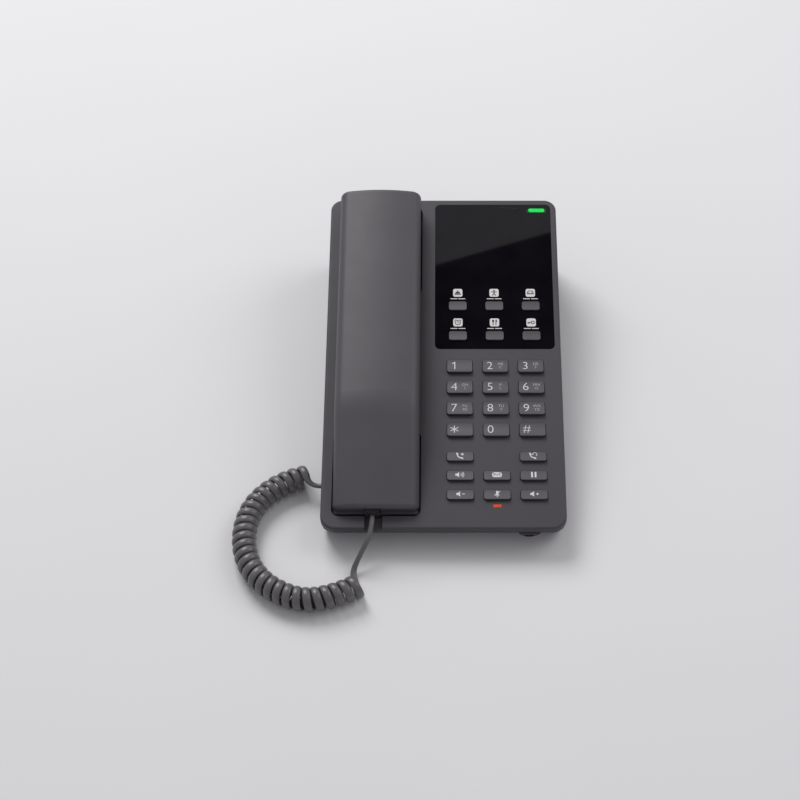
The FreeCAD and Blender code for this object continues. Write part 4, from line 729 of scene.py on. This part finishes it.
class Drawing:
    """Flat marks in mm about a middle, gathered as polygons."""

    def __init__(self) -> None:
        """Start with no marks."""
        self.polygons: list[list[Point]] = []

    def fill(self, points: list[Point]) -> "Drawing":
        """Add a filled outline.

        Args:
            points: The outline's corners.

        Returns:
            This drawing.
        """
        self.polygons.append(points)
        return self

    def box(self, centre: Point, width: float, height: float) -> "Drawing":
        """Add a filled rectangle.

        Args:
            centre: Its middle.
            width: Its width.
            height: Its height.

        Returns:
            This drawing.
        """
        x, y = centre
        half_width = width / 2
        half_height = height / 2
        corners = ((-1, -1), (1, -1), (1, 1), (-1, 1))
        return self.fill([(x + i * half_width, y + j * half_height) for i, j in corners])

    def disc(self, centre: Point, radius: float) -> "Drawing":
        """Add a filled circle.

        Args:
            centre: Its middle.
            radius: Its radius.

        Returns:
            This drawing.
        """
        steps = 20
        x, y = centre
        turns = [2 * math.pi * step / steps for step in range(steps)]
        return self.fill([(x + radius * math.cos(t), y + radius * math.sin(t)) for t in turns])

    def badge(self, size: float, corner: float) -> "Drawing":
        """Add a filled square with round corners.

        Args:
            size: Its side.
            corner: Its corner radius.

        Returns:
            This drawing.
        """
        steps = 4
        reach = size / 2 - corner
        points = []
        for quarter, (i, j) in enumerate(((1, 1), (-1, 1), (-1, -1), (1, -1))):
            for step in range(steps + 1):
                turn = math.pi / 2 * (quarter + step / steps)
                x = i * reach + corner * math.cos(turn)
                points.append((x, j * reach + corner * math.sin(turn)))
        return self.fill(points)

    def stroke(self, points: list[Point], width: float) -> "Drawing":
        """Add a line of one width through points.

        Args:
            points: The line's points.
            width: Its width.

        Returns:
            This drawing.
        """
        path = [Vector(point) for point in points]
        for start, end in zip(path, path[1:]):
            side = (end - start).orthogonal().normalized() * width / 2
            along = (end - start).normalized() * width / 4
            near = start - along
            far = end + along
            quad = (near + side, near - side, far - side, far + side)
            self.polygons.append([(corner.x, corner.y) for corner in quad])
        return self

    def arc(self, centre: Point, radius: float, ends: Point, width: float) -> "Drawing":
        """Add a line along an arc.

        Args:
            centre: The arc's middle.
            radius: Its radius.
            ends: Where it starts and ends, in degrees.
            width: The line's width.

        Returns:
            This drawing.
        """
        steps = 12
        x, y = centre
        sweep = ends[1] - ends[0]
        turns = [math.radians(ends[0] + sweep * step / steps) for step in range(steps + 1)]
        inner = radius - width / 2
        outer = radius + width / 2
        for one, two in zip(turns, turns[1:]):
            corners = ((inner, one), (outer, one), (outer, two), (inner, two))
            self.fill([(x + reach * math.cos(t), y + reach * math.sin(t)) for reach, t in corners])
        return self

    def words(self, text: str, size: float, centre: Point, thinner: float = 0.0) -> "Drawing":
        """Add a digit, sign or letters.

        Args:
            text: What is drawn.
            size: Its height.
            centre: Its middle.
            thinner: How far its outline is drawn in, as a share of the type's size.

        Returns:
            This drawing.
        """
        data = bpy.data.curves.new("glyph", "FONT")
        data.body = text
        data.offset = -thinner
        data.resolution_u = 4
        holder = bpy.data.objects.new("glyph", data)
        mesh = bpy.data.meshes.new_from_object(holder)
        places = [vertex.co for vertex in mesh.vertices]
        low_x = min(place.x for place in places)
        high_x = max(place.x for place in places)
        low_y = min(place.y for place in places)
        high_y = max(place.y for place in places)
        scale = size / (high_y - low_y)
        move_x = centre[0] - (low_x + high_x) / 2 * scale
        move_y = centre[1] - (low_y + high_y) / 2 * scale
        for polygon in mesh.polygons:
            corners = [mesh.vertices[index].co * scale for index in polygon.vertices]
            self.fill([(corner.x + move_x, corner.y + move_y) for corner in corners])
        bpy.data.objects.remove(holder)
        bpy.data.curves.remove(data)
        bpy.data.meshes.remove(mesh)
        return self


@dataclass(frozen=True)
class Printer:
    """Lays drawings on the solids as thin printed skins, in mm.

    Attributes:
        lift: Height of each layer of print over the solid.
        reach: Height over the leaning face from which a drawing is projected.
    """

    lift: float = 0.05
    reach: float = 12.0

    def lay(
        self,
        name: str,
        drawing: Drawing,
        node: str,
        body: str,
        place: Point,
        ink: Material,
        layer: int = 1,
    ) -> None:
        """Project a drawing onto a solid and let it ride there.

        Args:
            name: The piece's name.
            drawing: The marks.
            node: The solid that carries them.
            body: The body that it moves with.
            place: The drawing's middle on the face, as x and s.
            ink: The print's material.
            layer: Higher layers lie over lower ones.
        """
        source = frame["nodes"][node].data
        corners = [vertex.co for vertex in source.vertices]
        tree = BVHTree.FromPolygons(corners, [polygon.vertices[:] for polygon in source.polygons])
        mesh = bmesh.new()
        for polygon in drawing.polygons:
            corners = []
            for u, v in polygon:
                above = FACE.at(place[0] + u, place[1] + v, self.reach)
                hit = tree.ray_cast(above, -FACE.normal)[0]
                if hit is not None:
                    corners.append(mesh.verts.new(hit + FACE.normal * self.lift * layer * MM))
            if len(corners) > 2:
                mesh.faces.new(corners)
        mesh.normal_update()
        for face in mesh.faces:
            if face.normal.dot(FACE.normal) < 0:
                face.normal_flip()
        data = bpy.data.meshes.new(name)
        mesh.to_mesh(data)
        mesh.free()
        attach(link_mesh(name, data, ink), body)


class Sign(enum.Enum):
    """Plain signs on the function keys and over the speed keys."""

    TRANSFER = "transfer"
    REDIAL = "redial"
    SPEAKER = "speaker"
    MESSAGE = "message"
    PAUSE = "pause"
    QUIETER = "quieter"
    MUTE = "mute"
    LOUDER = "louder"
    BELL = "bell"
    PERSON = "person"
    CAR = "car"
    CLOCK = "clock"
    CUTLERY = "cutlery"
    ROOM_KEY = "room_key"

    def draw(self) -> Drawing:
        """Draw the sign about its middle.

        Returns:
            The drawing.
        """
        return getattr(self, f"_{self.value}")()

    def _receiver(self) -> Drawing:
        """Draw a small telephone handset.

        Returns:
            The drawing.
        """
        drawing = Drawing().arc((0.9, 0.95), 2.5, (185, 265), 0.65)
        drawing.stroke([(-1.85, 1.65), (-1.3, 0.7)], 0.9)
        return drawing.stroke([(0.35, -1.4), (1.4, -1.9)], 0.9)

    def _transfer(self) -> Drawing:
        """Draw a handset with a diamond."""
        return self._receiver().fill([(0.35, 0.95), (1.2, 0.1), (2.05, 0.95), (1.2, 1.8)])

    def _redial(self) -> Drawing:
        """Draw a handset with a round arrow."""
        drawing = self._receiver().arc((0.9, 0.8), 1.15, (-60, 170), 0.35)
        return drawing.fill([(-0.75, 1.05), (0.25, 1.1), (-0.15, 0.35)])

    def _horn(self, x: float) -> Drawing:
        """Draw a loudspeaker horn."""
        drawing = Drawing().box((x - 1.0, 0), 0.9, 1.4)
        return drawing.fill([(x - 0.55, -0.7), (x + 0.6, -1.75), (x + 0.6, 1.75), (x - 0.55, 0.7)])

    def _speaker(self) -> Drawing:
        """Draw a horn with sound waves.

        Returns:
            The drawing.
        """
        drawing = self._horn(-1.2)
        for radius in (1.0, 1.75, 2.5):
            drawing.arc((-0.5, 0), radius, (-45, 45), 0.32)
        return drawing

    def _message(self) -> Drawing:
        """Draw an envelope.

        Returns:
            The drawing.
        """
        drawing = Drawing().fill([(-2.4, 1.6), (2.4, 1.6), (0, -0.15)])
        drawing.fill([(-2.5, -1.65), (-0.95, 0.1), (0, -0.65), (0.95, 0.1), (2.5, -1.65)])
        drawing.fill([(-2.6, 1.25), (-1.2, 0.2), (-2.6, -1.3)])
        return drawing.fill([(2.6, 1.25), (2.6, -1.3), (1.2, 0.2)])

    def _pause(self) -> Drawing:
        """Draw two upright bars."""
        return Drawing().box((-0.95, 0), 1.0, 3.6).box((0.95, 0), 1.0, 3.6)

    def _quieter(self) -> Drawing:
        """Draw a horn with a minus."""
        return self._horn(-0.7).box((1.7, 0), 1.4, 0.5)

    def _louder(self) -> Drawing:
        """Draw a horn with a plus."""
        return self._horn(-0.7).box((1.7, 0), 1.4, 0.5).box((1.7, 0), 0.5, 1.4)

    def _mute(self) -> Drawing:
        """Draw a struck-out microphone.

        Returns:
            The drawing.
        """
        drawing = Drawing().box((0, 0.6), 1.3, 1.7).disc((0, 1.4), 0.65).disc((0, -0.2), 0.65)
        drawing.arc((0, -0.1), 1.15, (200, 340), 0.3).stroke([(0, -1.2), (0, -1.95)], 0.4)
        return drawing.stroke([(-1.5, -0.9), (1.5, 1.7)], 0.4)

    def _bell(self) -> Drawing:
        """Draw a counter bell.

        Returns:
            The drawing.
        """
        turns = [math.pi * step / 10 for step in range(11)]
        dome = [(1.5 * math.cos(turn), 1.5 * math.sin(turn) - 0.6) for turn in turns]
        return Drawing().fill(dome).box((0, -1.1), 3.6, 0.5).disc((0, 1.2), 0.35)

    def _person(self) -> Drawing:
        """Draw a person with both arms out.

        Returns:
            The drawing.
        """
        drawing = Drawing().disc((0, 1.4), 0.5).stroke([(-1.5, 0.6), (1.5, 0.6)], 0.45)
        drawing.stroke([(0, 0.6), (0, -0.4)], 0.6)
        drawing.stroke([(0, -0.4), (-0.9, -1.8)], 0.45)
        return drawing.stroke([(0, -0.4), (0.9, -1.8)], 0.45)

    def _car(self) -> Drawing:
        """Draw a van from its front.

        Returns:
            The drawing.
        """
        left = [(-1.6, -0.9), (-1.6, 0.3), (-1.1, 1.2)]
        right = [(1.1, 1.2), (1.6, 0.3), (1.6, -0.9)]
        drawing = Drawing().stroke(left + right, 0.45).stroke([(-1.6, -0.7), (1.6, -0.7)], 0.5)
        return drawing.disc((-0.8, -0.1), 0.3).disc((0.8, -0.1), 0.3)

    def _clock(self) -> Drawing:
        """Draw an alarm clock.

        Returns:
            The drawing.
        """
        drawing = Drawing().arc((0, -0.1), 1.5, (0, 360), 0.4)
        drawing.stroke([(0, 0.9), (0, -0.1), (0.7, -0.1)], 0.35)
        return drawing.stroke([(-1.8, 1.2), (-1.1, 1.8)], 0.4).stroke([(1.8, 1.2), (1.1, 1.8)], 0.4)

    def _cutlery(self) -> Drawing:
        """Draw a fork and a knife."""
        drawing = Drawing().stroke([(-0.8, -1.8), (-0.8, 0.4)], 0.45).box((-0.8, 1.0), 1.1, 1.4)
        return drawing.stroke([(0.8, -1.8), (0.8, 1.7)], 0.45).box((1.0, 0.9), 0.7, 1.7)

    def _room_key(self) -> Drawing:
        """Draw a door key."""
        drawing = Drawing().arc((0.9, 0), 0.9, (0, 360), 0.45).stroke([(0, 0), (-1.9, 0)], 0.45)
        return drawing.stroke([(-1.7, 0), (-1.7, -0.8)], 0.4).stroke([(-1.0, 0), (-1.0, -0.7)], 0.4)


@dataclass
class KeyPrints:
    """Digits, letters and signs on the keys, in mm on the leaning face."""

    dial_columns: tuple[float, ...] = (9.05, 28.9, 48.75)
    dial_rows: tuple[float, ...] = (99.5, 86.1, 72.7, 59.3)
    function_rows: tuple[float, ...] = (42.9, 31.35, 19.8)
    digit_height: float = 5.1
    digit_place: Point = (-3.1, 0.2)
    digit_thinner: float = 0.012
    letter_height: float = 1.75
    letter_x: float = 2.8
    letter_rows: Point = (1.5, -0.95)
    one_flag: float = 1.0
    one_flag_rise: float = 0.55
    one_stem: float = 0.35
    one_stem_drop: float = 0.2
    one_stroke: float = 0.56
    star_reach: float = 0.9
    star_stroke: float = 0.5
    sign_rise: float = 0.35
    dial_keys: tuple[tuple[str, str, str, str], ...] = (
        ("key_1", "1", "", ""),
        ("key_2", "2", "AB", "C"),
        ("key_3", "3", "DE", "F"),
        ("key_4", "4", "GH", "I"),
        ("key_5", "5", "JK", "L"),
        ("key_6", "6", "MN", "O"),
        ("key_7", "7", "PQ", "RS"),
        ("key_8", "8", "TU", "V"),
        ("key_9", "9", "WX", "YZ"),
        ("key_star", "*", "", ""),
        ("key_0", "0", "", ""),
        ("key_hash", "#", "", ""),
    )
    function_keys: tuple[tuple[str, Sign, int, int], ...] = (
        ("key_transfer", Sign.TRANSFER, 0, 0),
        ("key_redial", Sign.REDIAL, 2, 0),
        ("key_speaker", Sign.SPEAKER, 0, 1),
        ("key_voicemail", Sign.MESSAGE, 1, 1),
        ("key_hold", Sign.PAUSE, 2, 1),
        ("key_volume_down", Sign.QUIETER, 0, 2),
        ("key_mute", Sign.MUTE, 1, 2),
        ("key_volume_up", Sign.LOUDER, 2, 2),
    )

    def mark(self, sign: str) -> Drawing:
        """Draw a digit, a six-armed star or a hash.

        Args:
            sign: What is drawn.

        Returns:
            The drawing.
        """
        x, y = self.digit_place
        half = self.digit_height / 2
        if sign == "1":
            flag = (x - self.one_flag, y + half * self.one_flag_rise)
            top = (x + self.one_stem, y + half - self.one_stem_drop)
            return Drawing().stroke([flag, top, (x + self.one_stem, y - half)], self.one_stroke)
        if sign != "*":
            return Drawing().words(sign, self.digit_height, self.digit_place, self.digit_thinner)
        star = Drawing()
        middle = Vector(self.digit_place)
        for turn in (math.radians(angle) for angle in (30, 90, 150)):
            reach = Vector((math.cos(turn), math.sin(turn))) * half * self.star_reach
            star.stroke([tuple(middle - reach), tuple(middle + reach)], self.star_stroke)
        return star

    def build(self, printer: Printer, bright: Material, dim: Material) -> None:
        """Print every key.

        Args:
            printer: What lays the prints.
            bright: Ink of the digits and signs.
            dim: Ink of the small letters.
        """
        for number, (node, digit, upper, lower) in enumerate(self.dial_keys):
            place = (self.dial_columns[number % 3], self.dial_rows[number // 3])
            printer.lay(f"digit_{node}", self.mark(digit), node, f"{node}_body", place, bright)
            if upper:
                letters = Drawing()
                for text, row in zip((upper, lower), self.letter_rows):
                    letters.words(text, self.letter_height, (self.letter_x, row))
                printer.lay(f"letters_{node}", letters, node, f"{node}_body", place, dim)
        for node, sign, column, row in self.function_keys:
            place = (self.dial_columns[column], self.function_rows[row] + self.sign_rise)
            printer.lay(f"sign_{node}", sign.draw(), node, f"{node}_body", place, bright)
        LOG.info("key prints: %d keys", len(self.dial_keys) + len(self.function_keys))


@dataclass
class PanelPrints:
    """Badges with signs, bare name lines and the light bar's caps, in mm on the leaning face."""

    columns: tuple[float, ...] = (8.15, 28.9, 49.65)
    rows: tuple[float, ...] = (148.2, 128.4)
    badge: float = 5.3
    corner: float = 1.1
    line_drop: float = 4.0
    line_height: float = 0.5
    line_width: float = 8.6
    dash_place: float = 0.52
    dash_share: float = 0.9
    signs: tuple[Sign, ...] = (
        Sign.BELL,
        Sign.PERSON,
        Sign.CAR,
        Sign.CLOCK,
        Sign.CUTLERY,
        Sign.ROOM_KEY,
    )
    light_place: Point = (54.5, 205.4)
    light_end: float = 5.42
    light_half: float = 1.22
    light_seen: float = 4.8

    def light_mask(self) -> Drawing:
        """Draw the dark caps that give the light bar its round ends.

        Returns:
            The drawing.
        """
        steps = 8
        caps = Drawing()
        for side in (-1, 1):
            edge = []
            for step in range(steps + 1):
                turn = math.pi * (step / steps - 0.5)
                x = self.light_seen - self.light_half * (1 - math.cos(turn))
                edge.append((x, self.light_half * math.sin(turn)))
            for (x, y), (next_x, next_y) in zip(edge, edge[1:]):
                outer = side * self.light_end
                caps.fill([(side * x, y), (outer, y), (outer, next_y), (side * next_x, next_y)])
        return caps

    def build(self, printer: Printer, white: Material, dark: Material, gloss: Material) -> None:
        """Print the badges and the light bar's caps.

        Args:
            printer: What lays the prints.
            white: Ink of the badges and lines.
            dark: Ink of the signs on them.
            gloss: The panel's own finish, over the light bar's ends.
        """
        caps = self.light_mask()
        printer.lay("light_mask", caps, "status_light", "base", self.light_place, gloss)
        dash = self.line_width / 2
        for number, sign in enumerate(self.signs):
            place = (self.columns[number % 3], self.rows[number // 3])
            plate = Drawing().badge(self.badge, self.corner)
            for side in (-1, 1):
                middle = (side * dash * self.dash_place, -self.line_drop)
                plate.box(middle, dash * self.dash_share, self.line_height)
            printer.lay(f"badge_{number + 1}", plate, "faceplate", "base", place, white)
            name = f"badge_sign_{number + 1}"
            printer.lay(name, sign.draw(), "faceplate", "base", place, dark, 2)
        LOG.info("panel prints: %d badges", len(self.signs))


class Dresser:
    """Gives every solid the finish of its slot."""

    def __init__(self) -> None:
        """Make the finishes."""
        self.finishes = {slot: finish.build() for slot, finish in SLOT_FINISHES.items()}

    def dress(self) -> None:
        """Put the finishes on the solids."""
        slots = {part["node"]: part["material_slot"] for part in frame["record"]["subparts"]}
        for name, node in frame["nodes"].items():
            node.data.materials.clear()
            node.data.materials.append(self.finishes[slots[name]])
        LOG.info("solids dressed: %d", len(frame["nodes"]))


@dataclass
class Studio:
    """Pale floor, soft lamps and a dark card that the gloss panel mirrors, in metres.

    Attributes:
        floor_size: Side of the square floor.
        floor_colour: Its colour.
        floor_clouds: Size of the faint clouds in it, in mm.
        world_strength: Light from all round.
        key_place: Where the key lamp hangs.
        key_power: Its power in watts.
        fill_place: Where the fill lamp hangs.
        fill_power: Its power in watts.
        lamp_size: Side of either lamp.
        card_points: Two points on the leaning face where the card's edge shows, in mm.
        card_distance: Run of the mirrored ray from the face to the card.
        card_depth: Height of the card below its edge.
        card_spare: Its length past either point.
        card_colour: Its darker shade.
        card_clouds: Size of the faint clouds in it, in mm.
    """

    floor_size: float = 8.0
    floor_colour: Colour = srgb(226, 225, 228)
    floor_clouds: float = 240.0
    world_strength: float = 0.4
    key_place: Place = (-0.62, 1.15, 1.4)
    key_power: float = 23.0
    fill_place: Place = (1.15, 0.45, 1.25)
    fill_power: float = 6.0
    lamp_size: float = 1.0
    card_points: tuple[Point, Point] = ((-4.9, 167.2), (62.7, 190.2))
    card_distance: float = 1.4
    card_depth: float = 0.6
    card_spare: float = 0.8
    card_colour: Colour = (0.002, 0.002, 0.002)
    card_clouds: float = 300.0

    def floor(self) -> None:
        """Lay the floor."""
        half = self.floor_size / 2
        mesh = bpy.data.meshes.new("floor")
        corners = [(-half, -half, 0), (half, -half, 0), (half, half, 0), (-half, half, 0)]
        mesh.from_pydata(corners, [], [(0, 1, 2, 3)])
        paint = Paint("floor_paper")
        clouds = paint.noise(self.floor_clouds)
        paint.ramp(clouds, shade(self.floor_colour, 0.98), self.floor_colour)
        paint.set(Roughness=0.9, Specular_IOR_Level=0.1)
        floor = link_mesh("floor", mesh, paint.material)

    def lamp(self, name: str, place: Place, power: float) -> None:
        """Hang a soft lamp that faces the phone.

        Args:
            name: The lamp's name.
            place: Where it hangs.
            power: Its power in watts.
        """
        data = bpy.data.lights.new(name, "AREA")
        data.energy = power
        data.size = self.lamp_size
        lamp = bpy.data.objects.new(name, data)
        lamp.location = place
        lamp.rotation_euler = (-Vector(place)).to_track_quat("-Z", "Y").to_euler()
        bpy.context.scene.collection.objects.link(lamp)

    def card(self, eye: Vector) -> None:
        """Hang a dark card that the panel mirrors below a slanting edge.

        Args:
            eye: The camera's place.
        """
        edge = []
        for x, s in self.card_points:
            point = FACE.at(x, s)
            view = (point - eye).normalized()
            mirrored = view - FACE.normal * 2 * view.dot(FACE.normal)
            edge.append(point + mirrored * self.card_distance)
        along = (edge[1] - edge[0]).normalized()
        left = edge[0] - along * self.card_spare
        right = edge[1] + along * self.card_spare
        down = FACE.normal.cross(along).normalized() * self.card_depth
        down = -down if down.y > 0 else down
        corners = [tuple(corner) for corner in (left, right, right + down, left + down)]
        mesh = bpy.data.meshes.new("dark_card")
        mesh.from_pydata(corners, [], [(0, 1, 2, 3)])
        paint = Paint("dark_card_cloth")
        clouds = paint.noise(self.card_clouds)
        paint.ramp(clouds, self.card_colour, shade(self.card_colour, 2))
        paint.set(Roughness=1.0, Specular_IOR_Level=0.0)
        card = link_mesh("dark_card", mesh, paint.material)
        card.visible_camera = False
        card.visible_diffuse = False
        card.visible_shadow = False

    def build(self, eye: Vector) -> None:
        """Set up the studio.

        Args:
            eye: The camera's place.
        """
        scene = bpy.context.scene
        scene.view_settings.view_transform = "Standard"
        world = bpy.data.worlds.new("studio")
        world.use_nodes = True
        sky = world.node_tree.nodes["Background"]
        sky.inputs["Color"].default_value = (1, 1, 1, 1)
        sky.inputs["Strength"].default_value = self.world_strength
        scene.world = world
        self.floor()
        self.lamp("key_lamp", self.key_place, self.key_power)
        self.lamp("fill_lamp", self.fill_place, self.fill_power)
        self.card(eye)
        LOG.info("studio ready")


def main() -> None:
    """Build the camera, the cord, the finishes, the prints and the studio."""
    logging.basicConfig(level=logging.INFO, format="%(name)s: %(message)s")
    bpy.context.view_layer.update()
    camera = PhotoCamera().build()
    dresser = Dresser()
    CurlyCord().build(dresser.finishes["cord_vinyl"])
    BottomCover().build(dresser.finishes["base_plastic"])
    dresser.dress()
    printer = Printer()
    bright = Printed("ink_bright", srgb(214, 212, 214)).build()
    dim = Printed("ink_dim", srgb(168, 166, 170)).build()
    white = Printed("ink_white", srgb(222, 221, 222)).build()
    dark = Printed("ink_dark", srgb(34, 33, 36)).build()
    KeyPrints().build(printer, bright, dim)
    PanelPrints().build(printer, white, dark, dresser.finishes["panel_gloss"])
    Studio().build(camera.location)


if __name__ == "__main__":
    main()
